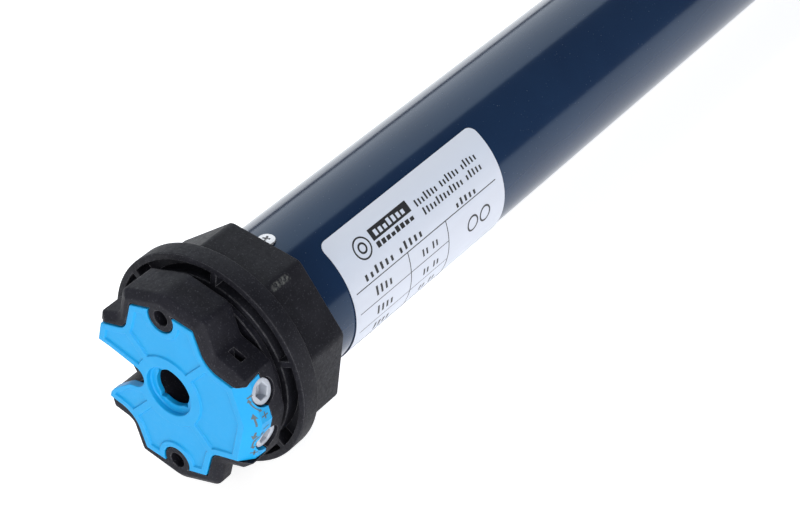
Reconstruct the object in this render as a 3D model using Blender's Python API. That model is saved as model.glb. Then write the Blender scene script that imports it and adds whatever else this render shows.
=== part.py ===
"""Tubular motor for roller shutters, 45 mm tube, with its full drive train.

The tube runs along +Y and the head's front face looks along -Y. +Z is up
through the two bracket screw holes. The origin is on the motor's axis, midway
between the head's face and the far end of the drive wheel's screw. Every Y
below is measured from the head's face, and one empty carries the whole motor
to its place. Lengths are in metres.
"""

import math

import bmesh
import bpy
from mathutils import Vector

GAP = 0.0003

# Housing tube
TUBE_RADIUS = 0.0225
TUBE_WALL = 0.0012
TUBE_START = 0.0389
TUBE_END = 0.4460
TUBE_SEGMENTS = 44
ROUND_LARGE = 28
ROUND_MEDIUM = 20
ROUND_SMALL = 12
INNER_RADIUS = 0.0210

# Rating label, wrapped round the tube
LABEL_START = 0.0520
LABEL_END = 0.1245
LABEL_FROM_DEG = -96.0
LABEL_TO_DEG = 62.0
LABEL_THICKNESS = 0.00015
LABEL_LIFT = 0.00020
LABEL_CORNER = 0.0028

# Head: a cross with four roof-ended arms. Corners are X, Z and a fillet radius
FACE_STEP = 0.0003
CREST_SIDE = 0.0293
CREST_LEFT = 0.0265
CREST_TOP = 0.0310
CREST_ROUND = 0.0060
ROOF_SLOPE_SIDE = 0.26
ARM_SHOULDER = (0.0257, 0.0138, 0.0006)
ARM_FLANK = (0.0227, 0.0156, 0.0006)
ARM_FLANK_LEFT = (0.0226, 0.0163, 0.0008)
ARM_SHOULDER_LOW = (0.0259, 0.0139, 0.0006)
ARM_FLANK_LOW = (0.0226, 0.0167, 0.0012)
ARM_VALLEY = (0.0163, 0.0182, 0.0020)
ARM_TIP = (0.0137, 0.0274, 0.0026)
ARM_TIP_LOW = (0.0137, 0.0274, 0.0040)
CHAMFER_WIDTH = 0.0022
CHAMFER_DEPTH = 0.0016
CORNER_STEPS = 3
ARM_REAR = 0.0124
LOWER_ARM_REAR = 0.0056
LOWER_ARM_TOP = -0.0186
LOWER_BOSS_RADIUS = 0.0062
NECK_RADIUS = 0.0220
BASE_FRONT = 0.0142
BASE_RADIUS = 0.0254
BASE_REAR = 0.0160
JOURNAL_RADIUS = 0.0246
JOURNAL_REAR = 0.0382
SPIGOT_RADIUS = 0.0210
SPIGOT_REAR = 0.0600
CAVITY_RADIUS = 0.0186
CAVITY_FRONT = 0.0200
SCREW_HOLE_PITCH = 0.0480
SCREW_HOLE_RADIUS = 0.0023
SCREW_HOLE_DEPTH = 0.0110
BOSS_RADIUS = 0.0041
LATCH_X = (0.0177, 0.0218)
LATCH_Y = (0.0054, 0.0076)
LATCH_Z = (0.0120, 0.0200)
NOTCH_INNER = 0.0086
NOTCH_INNER_BODY = 0.0105
NOTCH_REAR = 0.0130
GLAND_X = -0.0140
GLAND_RADIUS = 0.0028
HEAD_SCREW_Y = 0.0436

# Face plate
PLATE_CREST_SIDE = 0.0256
PLATE_CREST_TOP = 0.0263
PLATE_SHOULDER = (0.0225, 0.0113, 0.0004)
PLATE_VALLEY = (0.0138, 0.0139, 0.0085)
PLATE_TIP = (0.0106, 0.0243, 0.0005)
PLATE_WIDE_SHOULDER = (0.0220, 0.0134, 0.0004)
PLATE_WIDE_VALLEY = (0.0132, 0.0151, 0.0040)
PLATE_WIDE_TIP = (0.0103, 0.0242, 0.0005)
PLATE_THICKNESS = 0.0022
CENTRE_HOLE_RADIUS = 0.0075
SLEEVE_RADIUS = 0.0083
SLEEVE_REAR = 0.0033
LIP_FRONT = 0.0018
OPENING_RADIUS = 0.0056
OPENING_HALF_SQUARE = 0.0046
SHELL_THICKNESS = 0.0017
SHELL_REAR = 0.0070
SHELL_ROOT = 0.0190

# Limit adjusters: two hex-socket screws that point out of the right arm
ADJUSTER_ANGLE_DEG = 15.8
ADJUSTER_Y = 0.0070
ADJUSTER_FACE = 0.0276
ADJUSTER_HEAD_RADIUS = 0.0036
ADJUSTER_HEAD_LENGTH = 0.0050
ADJUSTER_STEM_RADIUS = 0.0020
ADJUSTER_STEM_END = 0.0130
ADJUSTER_SOCKET = 0.0040
ADJUSTER_SOCKET_DEPTH = 0.0030

# Crown
CROWN_FRONT = 0.0163
FLANGE_RADIUS = 0.0326
FLANGE_REAR = 0.0224
CROWN_REAR = 0.0385
OCTAGON_FLATS = 0.0556
OCTAGON_CORNER = 0.0030
OCTAGON_TURN_DEG = 36.0
CROWN_BORE = 0.0249
GROOVE_INNER = 0.0271
GROOVE_OUTER = 0.0306
GROOVE_DEPTH = 0.0045
GROOVE_RIBS = 6
GROOVE_TURN_DEG = 20.7
GROOVE_RIB_WIDTH = 0.0020
CROWN_TEETH = 36
CROWN_TOOTH_OUT = 0.0011
CROWN_TOOTH_IN = 0.0007
CROWN_PITCH_RADIUS = 0.0255
CROWN_GEAR_FRONT = 0.0305

# Limit switch unit
PINION_TEETH = 12
PINION_FRONT = 0.0315
PINION_REAR = 0.0375
COUNTER_DRIVER_TEETH = 8
COUNTER_WHEEL_TEETH = 30
COUNTER_MODULE = 0.0008
LIMIT_SHAFT_RADIUS = 0.0013
LIMIT_FRONT = 0.0630
LIMIT_REAR = 0.1000
LIMIT_WALL = 0.0030
CAM_AXLE_RADIUS = 0.0020
COUNTER_WHEEL_WIDTH = 0.0030
CAM_LIFT = 0.0008
CAM_FLANK_DEGREES = 30.0
CAM_WIDTH = 0.0060
CAM_RADIUS = 0.0102
CAM_UP_Y = 0.0720
CAM_DOWN_Y = 0.0860
SWITCH_BOTTOM = 0.0126
SWITCH_TOP = 0.0190
SWITCH_HALF_WIDTH = 0.0064
SWITCH_DEPTH = 0.0058
PLUNGER_TRAVEL = 0.0006

# Capacitor
CAPACITOR_RADIUS = 0.0175
CAPACITOR_FRONT = 0.1080
CAPACITOR_REAR = 0.1820

# Motor
SHIELD_FRONT = 0.1950
SHIELD_THICKNESS = 0.0110
BEARING_RADIUS = 0.0080
BEARING_BORE = 0.0042
BEARING_WIDTH = 0.0050
STATOR_FRONT = 0.2270
STATOR_REAR = 0.2990
STATOR_BORE = 0.0126
STATOR_SLOTS = 12
SLOT_INNER = 0.0136
SLOT_OUTER = 0.0186
SLOT_HALF_WIDTH = 0.0016
SLOT_MOUTH_HALF = 0.0007
COIL_HEIGHT = 0.0110
ROTOR_RADIUS = 0.0122
SHAFT_RADIUS = 0.0039
REAR_SHIELD_FRONT = 0.3170

# Brake
BRAKE_FRONT = 0.3300
BRAKE_REAR = 0.3540
BRAKE_DISC_FRONT = 0.3340
BRAKE_DISC_REAR = 0.3375
BRAKE_DISC_RADIUS = 0.0150
ARMATURE_FRONT = 0.3378
ARMATURE_REAR = 0.3408
ARMATURE_RADIUS = 0.0155
SPRING_RADIUS = 0.0085
SPRING_WIRE = 0.0006
SPRING_TURNS = 4

# Gearbox: three equal planetary stages
GEAR_MODULE = 0.0008
SUN_TEETH = 12
PLANET_TEETH = 15
RING_TEETH = 42
PLANETS = 3
STAGE_FRONT = (0.3630, 0.3810, 0.3990)
PLANET_WIDTH = (0.0080, 0.0080, 0.0110)
CARRIER_THICKNESS = 0.0030
CARRIER_RADIUS = 0.0150
PLANET_BORE = 0.0022
PIN_RADIUS = 0.0019
GEARBOX_FRONT = 0.3560
GEARBOX_SCREW_Y = 0.4120
RING_FRONT = 0.3613
RING_REAR = 0.4200
OUTPUT_RADIUS = 0.0070
OUTPUT_COVER_REAR = 0.4510
OUTPUT_FLANGE_RADIUS = 0.0225

# Pan-head screws through the tube
PAN_HEAD_RADIUS = 0.0026
PAN_HEAD_HEIGHT = 0.0011
PAN_HEAD_LIFT = 0.0002
PAN_SLOT_REACH = 0.0014

# Drive wheel
WHEEL_FRONT = 0.4560
WHEEL_REAR = 0.4720
WHEEL_RIM = 0.0030
WHEEL_HUB_RADIUS = 0.0110
WHEEL_RIB_WIDTH = 0.0022
HEX_FLATS = 0.0110
OUTPUT_END = 0.4730
WHEEL_SCREW_END = 0.0046

MOTOR_LENGTH = OUTPUT_END + WHEEL_SCREW_END


def make_material(name, colour, roughness, metallic):
    material = bpy.data.materials.new(name)
    material.use_nodes = True
    shader = material.node_tree.nodes["Principled BSDF"]
    shader.inputs["Base Color"].default_value = (*colour, 1.0)
    shader.inputs["Roughness"].default_value = roughness
    shader.inputs["Metallic"].default_value = metallic
    return material


def mesh_from(name, bm):
    bmesh.ops.recalc_face_normals(bm, faces=bm.faces)
    mesh = bpy.data.meshes.new(name)
    bm.to_mesh(mesh)
    bm.free()
    return mesh


def add_object(name, mesh, material=None, location=(0.0, 0.0, 0.0), parent=None):
    obj = bpy.data.objects.new(name, mesh)
    bpy.context.scene.collection.objects.link(obj)
    obj.location = location
    obj.parent = parent
    if material is not None:
        mesh.materials.clear()
        mesh.materials.append(material)
        mesh.shade_smooth()
        mesh.set_sharp_from_angle(angle=math.radians(32.0))
    return obj


def add_pivot(name, location, parent=None):
    pivot = bpy.data.objects.new(name, None)
    bpy.context.scene.collection.objects.link(pivot)
    pivot.empty_display_size = 0.01
    pivot.location = location
    pivot.parent = parent
    return pivot


def loft(name, sections):
    """A closed mesh through sections, each a list of (x, y, z) points."""
    bm = bmesh.new()
    rings = [[bm.verts.new(point) for point in section] for section in sections]
    count = len(rings[0])
    for near, far in zip(rings, rings[1:]):
        for i in range(count):
            j = (i + 1) % count
            bm.faces.new((near[i], near[j], far[j], far[i]))
    bm.faces.new(rings[0])
    bm.faces.new(rings[-1])
    return mesh_from(name, bm)


def at_y(outline, y):
    return [(x, y, z) for x, z in outline]


def prism(name, outline, y_front, y_rear):
    return loft(name, [at_y(outline, y_front), at_y(outline, y_rear)])


def turned(name, profile, segments):
    """Revolves a closed profile of (radius, y) points about the Y axis."""
    bm = bmesh.new()
    rings = []
    for k in range(segments):
        angle = 2.0 * math.pi * k / segments
        c, s = math.cos(angle), math.sin(angle)
        rings.append([bm.verts.new((r * c, y, r * s)) for r, y in profile])
    for k in range(segments):
        near, far = rings[k], rings[(k + 1) % segments]
        for i in range(len(profile)):
            j = (i + 1) % len(profile)
            bm.faces.new((near[i], near[j], far[j], far[i]))
    return mesh_from(name, bm)


def rod(name, steps, segments):
    """A solid turned shape: steps are (radius, y) from front to rear."""
    sections = [at_y(circle(r, segments), y) for r, y in steps]
    return loft(name, sections)


def circle(radius, segments, centre=(0.0, 0.0), phase=0.0):
    points = []
    for k in range(segments):
        angle = phase + 2.0 * math.pi * k / segments
        points.append(
            (centre[0] + radius * math.cos(angle), centre[1] + radius * math.sin(angle))
        )
    return points


def box(x0, x1, z0, z1):
    return [(x0, z0), (x1, z0), (x1, z1), (x0, z1)]


def rounded_polygon(sides, flats, corner, turn_deg, steps=2):
    """A regular polygon with rounded corners and one face normal at turn_deg."""
    inner = flats / 2.0 - corner
    reach = inner / math.cos(math.pi / sides)
    points = []
    for k in range(sides):
        middle = math.radians(turn_deg) + math.pi / sides + 2.0 * math.pi * k / sides
        for step in range(steps + 1):
            share = step / steps - 0.5
            angle = middle + share * 2.0 * math.pi / sides
            points.append(
                (
                    reach * math.cos(middle) + corner * math.cos(angle),
                    reach * math.sin(middle) + corner * math.sin(angle),
                )
            )
    return points


def inset_outline(outline, distance):
    """Moves every edge of an anticlockwise outline inward by distance."""
    count = len(outline)
    moved = []
    for i in range(count):
        before = Vector(outline[i - 1])
        here = Vector(outline[i])
        after = Vector(outline[(i + 1) % count])
        first = (here - before).normalized()
        second = (after - here).normalized()
        normal_first = Vector((-first.y, first.x))
        normal_second = Vector((-second.y, second.x))
        bisector = (normal_first + normal_second).normalized()
        reach = distance / max(bisector.dot(normal_first), 0.3)
        moved.append(tuple(here + bisector * reach))
    return moved


def gear_outline(teeth, pitch_radius, addendum, dedendum, tip, root, phase):
    """Straight-flanked teeth; tip and root are shares of the tooth pitch."""
    pitch = 2.0 * math.pi / teeth
    points = []
    for k in range(teeth):
        middle = phase + k * pitch
        for radius, share in (
            (pitch_radius - dedendum, -root / 2.0),
            (pitch_radius + addendum, -tip / 2.0),
            (pitch_radius + addendum, tip / 2.0),
            (pitch_radius - dedendum, root / 2.0),
        ):
            angle = middle + share * pitch
            points.append((radius * math.cos(angle), radius * math.sin(angle)))
    return points


def external_gear(teeth, module, phase):
    return gear_outline(
        teeth, teeth * module / 2.0, 0.75 * module, 1.05 * module, 0.18, 0.58, phase
    )


def internal_gear(teeth, module, phase):
    """The hollow inside a ring gear, with a space centred on phase."""
    return gear_outline(
        teeth, teeth * module / 2.0, 1.05 * module, 0.75 * module, 0.42, 0.82, phase
    )


def combine(target, tool_mesh, operation, location=(0.0, 0.0, 0.0), turn_y=0.0):
    """Applies one boolean to the target's mesh, then removes the tool."""
    tool = add_object(target.name + "_tool", tool_mesh)
    tool.location = location
    tool.rotation_euler = (0.0, turn_y, 0.0)
    modifier = target.modifiers.new("shape", "BOOLEAN")
    modifier.object = tool
    modifier.operation = operation
    modifier.solver = "EXACT"
    bpy.context.view_layer.update()
    graph = bpy.context.evaluated_depsgraph_get()
    shaped = bpy.data.meshes.new_from_object(target.evaluated_get(graph))
    target.modifiers.remove(modifier)
    old = target.data
    target.data = shaped
    bpy.data.meshes.remove(old)
    bpy.data.objects.remove(tool, do_unlink=True)
    bpy.data.meshes.remove(tool_mesh)


def take_mesh(obj):
    """A tool's finished mesh; its object is removed."""
    mesh = obj.data.copy()
    bpy.data.objects.remove(obj, do_unlink=True)
    return mesh


def cut(target, tool_mesh, location=(0.0, 0.0, 0.0), turn_y=0.0):
    combine(target, tool_mesh, "DIFFERENCE", location, turn_y)


def join(target, tool_mesh, location=(0.0, 0.0, 0.0), turn_y=0.0):
    combine(target, tool_mesh, "UNION", location, turn_y)


def finish(obj, material):
    mesh = obj.data
    mesh.name = obj.name
    mesh.materials.clear()
    mesh.materials.append(material)
    mesh.shade_smooth()
    mesh.set_sharp_from_angle(angle=math.radians(32.0))
    return obj


def rounded(corners, inset=0.0, steps=CORNER_STEPS):
    """An anticlockwise outline through (x, z, fillet) corners, pulled in by inset.

    A corner whose fillet is zero stays one point. Convex fillets tighten and
    hollow ones widen as the outline is pulled in.
    """
    base = inset_outline([(x, z) for x, z, radius in corners], inset)
    count = len(base)
    points = []
    for i in range(count):
        here = Vector(base[i])
        nominal = corners[i][2]
        if nominal <= 0.0:
            points.append(tuple(here))
            continue
        back = (Vector(base[i - 1]) - here).normalized()
        ahead = (Vector(base[(i + 1) % count]) - here).normalized()
        convex = back.y * ahead.x - back.x * ahead.y > 0.0
        radius = nominal - inset if convex else nominal + inset
        radius = max(radius, 0.0002)
        half = back.angle(ahead) / 2.0
        centre = here + (back + ahead).normalized() * radius / math.sin(half)
        first = here + back * radius / math.tan(half) - centre
        last = here + ahead * radius / math.tan(half) - centre
        start = math.atan2(first.y, first.x)
        sweep = math.atan2(last.y, last.x) - start
        sweep = (sweep + math.pi) % (2.0 * math.pi) - math.pi
        for step in range(steps + 1):
            angle = start + sweep * step / steps
            points.append(
                (
                    centre.x + radius * math.cos(angle),
                    centre.y + radius * math.sin(angle),
                )
            )
    return points


def placed(corner, side, up):
    """A corner mirrored into the quadrant that side and up (1 or -1) name."""
    return (side * corner[0], up * corner[1], corner[2])


def head_corners():
    """The black body's cross, anticlockwise from the right arm's crest."""
    right = [ARM_SHOULDER, ARM_FLANK, ARM_VALLEY, ARM_TIP]
    low = [ARM_TIP_LOW, ARM_VALLEY, ARM_FLANK_LOW, ARM_SHOULDER_LOW]
    left = [ARM_TIP, ARM_VALLEY, ARM_FLANK_LEFT]
    corners = [(CREST_SIDE, 0.0, CREST_ROUND)]
    corners += [placed(corner, 1.0, 1.0) for corner in right]
    corners.append((0.0, CREST_TOP, CREST_ROUND))
    corners += [placed(corner, -1.0, 1.0) for corner in left]
    corners.append((-CREST_LEFT, 0.0, 0.0))
    corners += [placed(corner, -1.0, -1.0) for corner in left[::-1]]
    corners.append((0.0, -CREST_TOP, CREST_ROUND))
    corners += [placed(corner, 1.0, -1.0) for corner in low]
    return corners


def plate_corners(reach_left=0.0):
    """The face plate's outline; it looks the same after half a turn.

    reach_left carries the left arm on past its end, for the recess.
    """
    near = [PLATE_SHOULDER, PLATE_VALLEY, PLATE_TIP]
    wide = [PLATE_WIDE_TIP, PLATE_WIDE_VALLEY, PLATE_WIDE_SHOULDER]
    corners = [(PLATE_CREST_SIDE, 0.0, 0.0)]
    corners += [placed(corner, 1.0, 1.0) for corner in near]
    corners.append((0.0, PLATE_CREST_TOP, 0.0))
    upper = [placed(corner, -1.0, 1.0) for corner in wide]
    lower = [placed(corner, -1.0, -1.0) for corner in near]
    if reach_left > 0.0:
        upper[-1] = carried_on(upper[-2], upper[-1], reach_left)
        lower[0] = carried_on(lower[1], lower[0], reach_left)
        corners += upper
    else:
        corners += upper
        corners.append((-PLATE_CREST_SIDE, 0.0, 0.0))
    corners += lower
    corners.append((0.0, -PLATE_CREST_TOP, 0.0))
    corners += [placed(corner, 1.0, -1.0) for corner in wide]
    return corners


def carried_on(start, end, reach):
    """The corner that lies reach further along the line from start to end."""
    along = Vector((end[0] - start[0], end[1] - start[1])).normalized() * reach
    return (end[0] + along.x, end[1] + along.y, 0.0)


def notch_outline(inner, grow):
    """The cable notch: a round inner end that flares out to the left."""
    radius = 0.0036 + grow
    centre = -(inner + radius - grow)
    points = []
    for step in range(7):
        angle = math.radians(-75.0 + 150.0 * step / 6.0)
        points.append((centre + radius * math.cos(angle), radius * math.sin(angle)))
    points.append((-0.0196, 0.0064 + grow))
    points.append((-0.0400, 0.0118 + grow))
    points.append((-0.0400, -0.0250 - grow))
    points.append((-0.0232 + grow, -0.0180 - grow))
    points.append((-0.0222 + grow, -0.0118 - grow))
    points.append((-0.0216 + grow, -0.0098 - grow))
    points.append((-0.0203, -0.0082 - grow))
    points.append((-0.0180, -0.0064 - grow))
    points.append((-0.0159, -0.0050 - grow))
    points.append((-0.0140, -0.0038 - grow))
    return points


def side_shell_sections(shrink, reach_out, z_grow, y_front, y_rear):
    """Sections of the plate's wrap round the right arm, front to rear.

    shrink pulls the inner wall further in, reach_out pushes the outer wall out.
    """
    stations = (
        (y_front, PLATE_CREST_SIDE + min(y_front, 0.0), 0.0114, 0.0133, True),
        (0.0, PLATE_CREST_SIDE, 0.0114, 0.0133, True),
        (0.0020, PLATE_CREST_SIDE + 0.0020, 0.0118, 0.0133, True),
        (0.0021, PLATE_CREST_SIDE + 0.0021, 0.0118, 0.0133, False),
        (0.0034, PLATE_CREST_SIDE + 0.0034, 0.0122, 0.0131, False),
        (y_rear, CREST_SIDE + 0.0001, 0.0129, 0.0129, False),
    )
    sections = []
    for y, crest, upper, lower, solid in stations:
        upper += z_grow
        lower += z_grow
        wall = SHELL_THICKNESS
        if solid:
            wall = crest - SHELL_ROOT
        upper_edge = crest - upper * ROOF_SLOPE_SIDE
        lower_edge = crest - lower * ROOF_SLOPE_SIDE
        pull = wall + shrink
        outline = [
            (lower_edge - pull, -lower),
            (lower_edge + reach_out, -lower),
            (crest + reach_out, 0.0),
            (upper_edge + reach_out, upper),
            (upper_edge - pull, upper),
            (crest - pull, 0.0),
        ]
        sections.append(at_y(outline, y))
    return sections


def radial_mesh(name, steps, segments):
    """A solid turned shape whose axis is local X: steps are (radius, x)."""
    bm = bmesh.new()
    rings = []
    for r, x in steps:
        ring = []
        for k in range(segments):
            angle = 2.0 * math.pi * k / segments
            ring.append(bm.verts.new((x, r * math.cos(angle), r * math.sin(angle))))
        rings.append(ring)
    for near, far in zip(rings, rings[1:]):
        for i in range(segments):
            j = (i + 1) % segments
            bm.faces.new((near[i], near[j], far[j], far[i]))
    bm.faces.new(rings[0])
    bm.faces.new(rings[-1])
    return mesh_from(name, bm)


def adjuster_turn(sign):
    """Turn about Y that points local +X out of the right arm, up or down."""
    return -sign * math.radians(ADJUSTER_ANGLE_DEG)


def build_head_body(material):
    corners = head_corners()
    outer = rounded(corners)
    front = rounded(corners, CHAMFER_WIDTH)
    sections = [
        at_y(front, FACE_STEP),
        at_y(outer, FACE_STEP + CHAMFER_DEPTH),
        at_y(outer, ARM_REAR),
    ]
    body = add_object("head_body", loft("head", sections))
    stem_steps = [
        (NECK_RADIUS, ARM_REAR - 0.0020),
        (NECK_RADIUS, BASE_FRONT),
        (BASE_RADIUS, BASE_FRONT),
        (BASE_RADIUS, BASE_REAR),
        (JOURNAL_RADIUS, BASE_REAR),
        (JOURNAL_RADIUS, JOURNAL_REAR),
        (SPIGOT_RADIUS - 0.0001, JOURNAL_REAR),
        (SPIGOT_RADIUS - 0.0001, SPIGOT_REAR),
    ]
    hollow = box(-0.0400, 0.0400, -0.0400, LOWER_ARM_TOP)
    under = add_object("under", prism("under", hollow, LOWER_ARM_REAR, ARM_REAR + 0.0010))
    boss_centre = (0.0, -SCREW_HOLE_PITCH / 2.0)
    boss = circle(LOWER_BOSS_RADIUS, ROUND_MEDIUM, boss_centre)
    cut(under, prism("boss", boss, 0.0, 0.0200))
    cut(body, take_mesh(under))
    join(body, rod("stem", stem_steps, TUBE_SEGMENTS))

    recess_outline = rounded(plate_corners(0.0120), -GAP)
    recess_rear = PLATE_THICKNESS + GAP
    recess = add_object("recess", prism("recess", recess_outline, -0.0010, recess_rear))
    for sign in (1.0, -1.0):
        boss = circle(BOSS_RADIUS, ROUND_MEDIUM - 4, (0.0, sign * SCREW_HOLE_PITCH / 2.0))
        cut(recess, prism("boss", boss, -0.0020, 0.0100))
    cut(body, take_mesh(recess))

    shell = side_shell_sections(GAP, 0.0100, GAP, -0.0010, SHELL_REAR + GAP)
    cut(body, loft("side", shell))
    cut(body, prism("cable", notch_outline(NOTCH_INNER_BODY, GAP), -0.0010, NOTCH_REAR))
    gland = circle(GLAND_RADIUS, ROUND_SMALL, (GLAND_X, 0.0), 0.13)
    cut(body, prism("gland", gland, NOTCH_REAR - 0.0010, CAVITY_FRONT + 0.0010))

    sleeve_steps = [
        (SLEEVE_RADIUS + GAP, -0.0010),
        (SLEEVE_RADIUS + GAP, SLEEVE_REAR + GAP),
        (0.0064, SLEEVE_REAR + GAP),
        (0.0064, CAVITY_FRONT + 0.0010),
    ]
    cut(body, rod("sleeve", sleeve_steps, ROUND_MEDIUM + 4))
    cavity = [(CAVITY_RADIUS, CAVITY_FRONT), (CAVITY_RADIUS, SPIGOT_REAR + 0.0010)]
    cut(body, rod("cavity", cavity, ROUND_LARGE))

    for sign in (1.0, -1.0):
        hole = circle(SCREW_HOLE_RADIUS, ROUND_SMALL, (0.0, sign * SCREW_HOLE_PITCH / 2.0))
        cut(body, prism("hole", hole, -0.0010, SCREW_HOLE_DEPTH))
        bore_steps = [
            (ADJUSTER_STEM_RADIUS + GAP, ADJUSTER_STEM_END - GAP),
            (ADJUSTER_STEM_RADIUS + GAP, ADJUSTER_FACE - ADJUSTER_HEAD_LENGTH - GAP),
            (ADJUSTER_HEAD_RADIUS + GAP, ADJUSTER_FACE - ADJUSTER_HEAD_LENGTH - GAP),
            (ADJUSTER_HEAD_RADIUS + GAP, 0.0400),
        ]
        bore = radial_mesh("bore", bore_steps, ROUND_MEDIUM - 4)
        cut(body, bore, (0.0, ADJUSTER_Y, 0.0), adjuster_turn(sign))
        low, high = sorted((sign * LATCH_Z[0], sign * LATCH_Z[1]))
        cut(body, prism("latch", box(*LATCH_X, low, high), *LATCH_Y))

    pocket = circle(pinion_tip() + 0.0006, ROUND_MEDIUM, (0.0, -pinion_distance()))
    cut(body, prism("pinion", pocket, PINION_FRONT - 0.0006, PINION_REAR + GAP))
    screw_hole = rod("screw", [(0.0014, 0.0), (0.0014, 0.0100)], ROUND_SMALL)
    for sign in (1.0, -1.0):
        tool = screw_hole.copy()
        for vertex in tool.vertices:
            x, y, z = vertex.co
            vertex.co = (x, HEAD_SCREW_Y + z, sign * (0.0150 + y))
        fix_normals(tool)
        cut(body, tool)
    bpy.data.meshes.remove(screw_hole)
    return finish(body, material)


def fix_normals(mesh):
    bm = bmesh.new()
    bm.from_mesh(mesh)
    bmesh.ops.recalc_face_normals(bm, faces=bm.faces)
    bm.to_mesh(mesh)
    bm.free()


def crown_module():
    return 2.0 * CROWN_PITCH_RADIUS / CROWN_TEETH


def pinion_distance():
    return CROWN_PITCH_RADIUS - pinion_pitch()


def pinion_pitch():
    return PINION_TEETH * crown_module() / 2.0


def pinion_tip():
    return pinion_pitch() + CROWN_TOOTH_IN


def build_face_plate(material):
    outline = rounded(plate_corners())
    plate = add_object("face_plate", prism("plate", outline, 0.0, PLATE_THICKNESS))
    for sign in (1.0, -1.0):
        boss = circle(BOSS_RADIUS + GAP, ROUND_MEDIUM - 4, (0.0, sign * SCREW_HOLE_PITCH / 2.0))
        cut(plate, prism("boss", boss, -0.0010, 0.0100))
    shell = side_shell_sections(0.0, 0.0, 0.0, 0.0, SHELL_REAR)[1:]
    join(plate, loft("side", shell))
    cut(plate, prism("notch", notch_outline(NOTCH_INNER, 0.0), -0.0010, 0.0100))
    sleeve = [(SLEEVE_RADIUS, 0.0), (SLEEVE_RADIUS, SLEEVE_REAR)]
    join(plate, rod("sleeve", sleeve, ROUND_MEDIUM + 4))
    hole = [(CENTRE_HOLE_RADIUS, -0.0010), (CENTRE_HOLE_RADIUS, LIP_FRONT)]
    cut(plate, rod("hole", hole, ROUND_MEDIUM + 4))
    opening = []
    for k in range(32):
        angle = 2.0 * math.pi * k / 32.0
        widest = max(abs(math.cos(angle)), abs(math.sin(angle)))
        reach = max(OPENING_RADIUS, OPENING_HALF_SQUARE / widest)
        opening.append((reach * math.cos(angle), reach * math.sin(angle)))
    cut(plate, prism("opening", opening, 0.0, 0.0100))
    for sign in (1.0, -1.0):
        opening = radial_mesh(
            "opening",
            [(ADJUSTER_HEAD_RADIUS + 0.0005, 0.0200), (ADJUSTER_HEAD_RADIUS + 0.0005, 0.04)],
            ROUND_MEDIUM - 4,
        )
        cut(plate, opening, (0.0, ADJUSTER_Y, 0.0), adjuster_turn(sign))
    return finish(plate, material)


def build_adjuster(name, sign, material):
    steps = [
        (ADJUSTER_STEM_RADIUS, ADJUSTER_STEM_END),
        (ADJUSTER_STEM_RADIUS, ADJUSTER_FACE - ADJUSTER_HEAD_LENGTH),
        (ADJUSTER_HEAD_RADIUS, ADJUSTER_FACE - ADJUSTER_HEAD_LENGTH),
        (ADJUSTER_HEAD_RADIUS, ADJUSTER_FACE - 0.0003),
        (ADJUSTER_HEAD_RADIUS - 0.0003, ADJUSTER_FACE),
    ]
    screw = add_object(name, radial_mesh(name, steps, ROUND_MEDIUM - 4))
    socket_radius = ADJUSTER_SOCKET / math.sqrt(3.0)
    socket = radial_mesh(
        "socket",
        [
            (socket_radius, ADJUSTER_FACE - ADJUSTER_SOCKET_DEPTH),
            (socket_radius, ADJUSTER_FACE + 0.0010),
        ],
        6,
    )
    cut(screw, socket)
    screw.location = (0.0, ADJUSTER_Y, 0.0)
    screw.rotation_euler = (0.0, adjuster_turn(sign), 0.0)
    return finish(screw, material)


def build_crown(material):
    """Built about its own origin, which lies on the motor's axis."""
    octagon = rounded_polygon(8, OCTAGON_FLATS, OCTAGON_CORNER, OCTAGON_TURN_DEG)
    crown = add_object(
        "crown", prism("octagon", octagon, FLANGE_REAR - 0.0020, CROWN_REAR)
    )
    flange = [
        (FLANGE_RADIUS - 0.0006, CROWN_FRONT),
        (FLANGE_RADIUS, CROWN_FRONT + 0.0006),
        (FLANGE_RADIUS, FLANGE_REAR - 0.0004),
        (FLANGE_RADIUS - 0.0004, FLANGE_REAR),
    ]
    join(crown, rod("flange", flange, TUBE_SEGMENTS))
    bore = [(CROWN_BORE, 0.0100), (CROWN_BORE, 0.0500)]
    cut(crown, rod("bore", bore, TUBE_SEGMENTS))
    hollow = gear_outline(
        CROWN_TEETH,
        CROWN_PITCH_RADIUS,
        CROWN_TOOTH_OUT,
        CROWN_TOOTH_IN,
        0.42,
        0.80,
        -math.pi / 2.0,
    )
    cut(crown, prism("teeth", hollow, CROWN_GEAR_FRONT, CROWN_REAR + 0.0010))
    steps = 7
    for k in range(GROOVE_RIBS):
        outline = []
        for radius, order in ((GROOVE_INNER, 1), (GROOVE_OUTER, -1)):
            share = math.asin(GROOVE_RIB_WIDTH / 2.0 / radius)
            turn = math.radians(GROOVE_TURN_DEG)
            start = turn + 2.0 * math.pi * k / GROOVE_RIBS + share
            stop = turn + 2.0 * math.pi * (k + 1) / GROOVE_RIBS - share
            arc = []
            for step in range(steps + 1):
                angle = start + (stop - start) * step / steps
                arc.append((radius * math.cos(angle), radius * math.sin(angle)))
            outline += arc[::order]
        cut(crown, prism("groove", outline, 0.0100, CROWN_FRONT + GROOVE_DEPTH))
    return finish(crown, material)


def build_tube(material):
    profile = [
        (TUBE_RADIUS, TUBE_START),
        (TUBE_RADIUS, TUBE_END),
        (TUBE_RADIUS - TUBE_WALL, TUBE_END),
        (TUBE_RADIUS - TUBE_WALL, TUBE_START),
    ]
    tube = add_object("motor_tube", turned("tube", profile, TUBE_SEGMENTS))
    for y in (HEAD_SCREW_Y, GEARBOX_SCREW_Y):
        for sign in (1.0, -1.0):
            tool = rod("screw", [(0.0018, 0.0), (0.0018, 0.0150)], ROUND_SMALL)
            for vertex in tool.vertices:
                vx, vy, vz = vertex.co
                vertex.co = (vx, y + vz, sign * (0.0150 + vy))
            fix_normals(tool)
            cut(tube, tool)
    return finish(tube, material)


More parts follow.
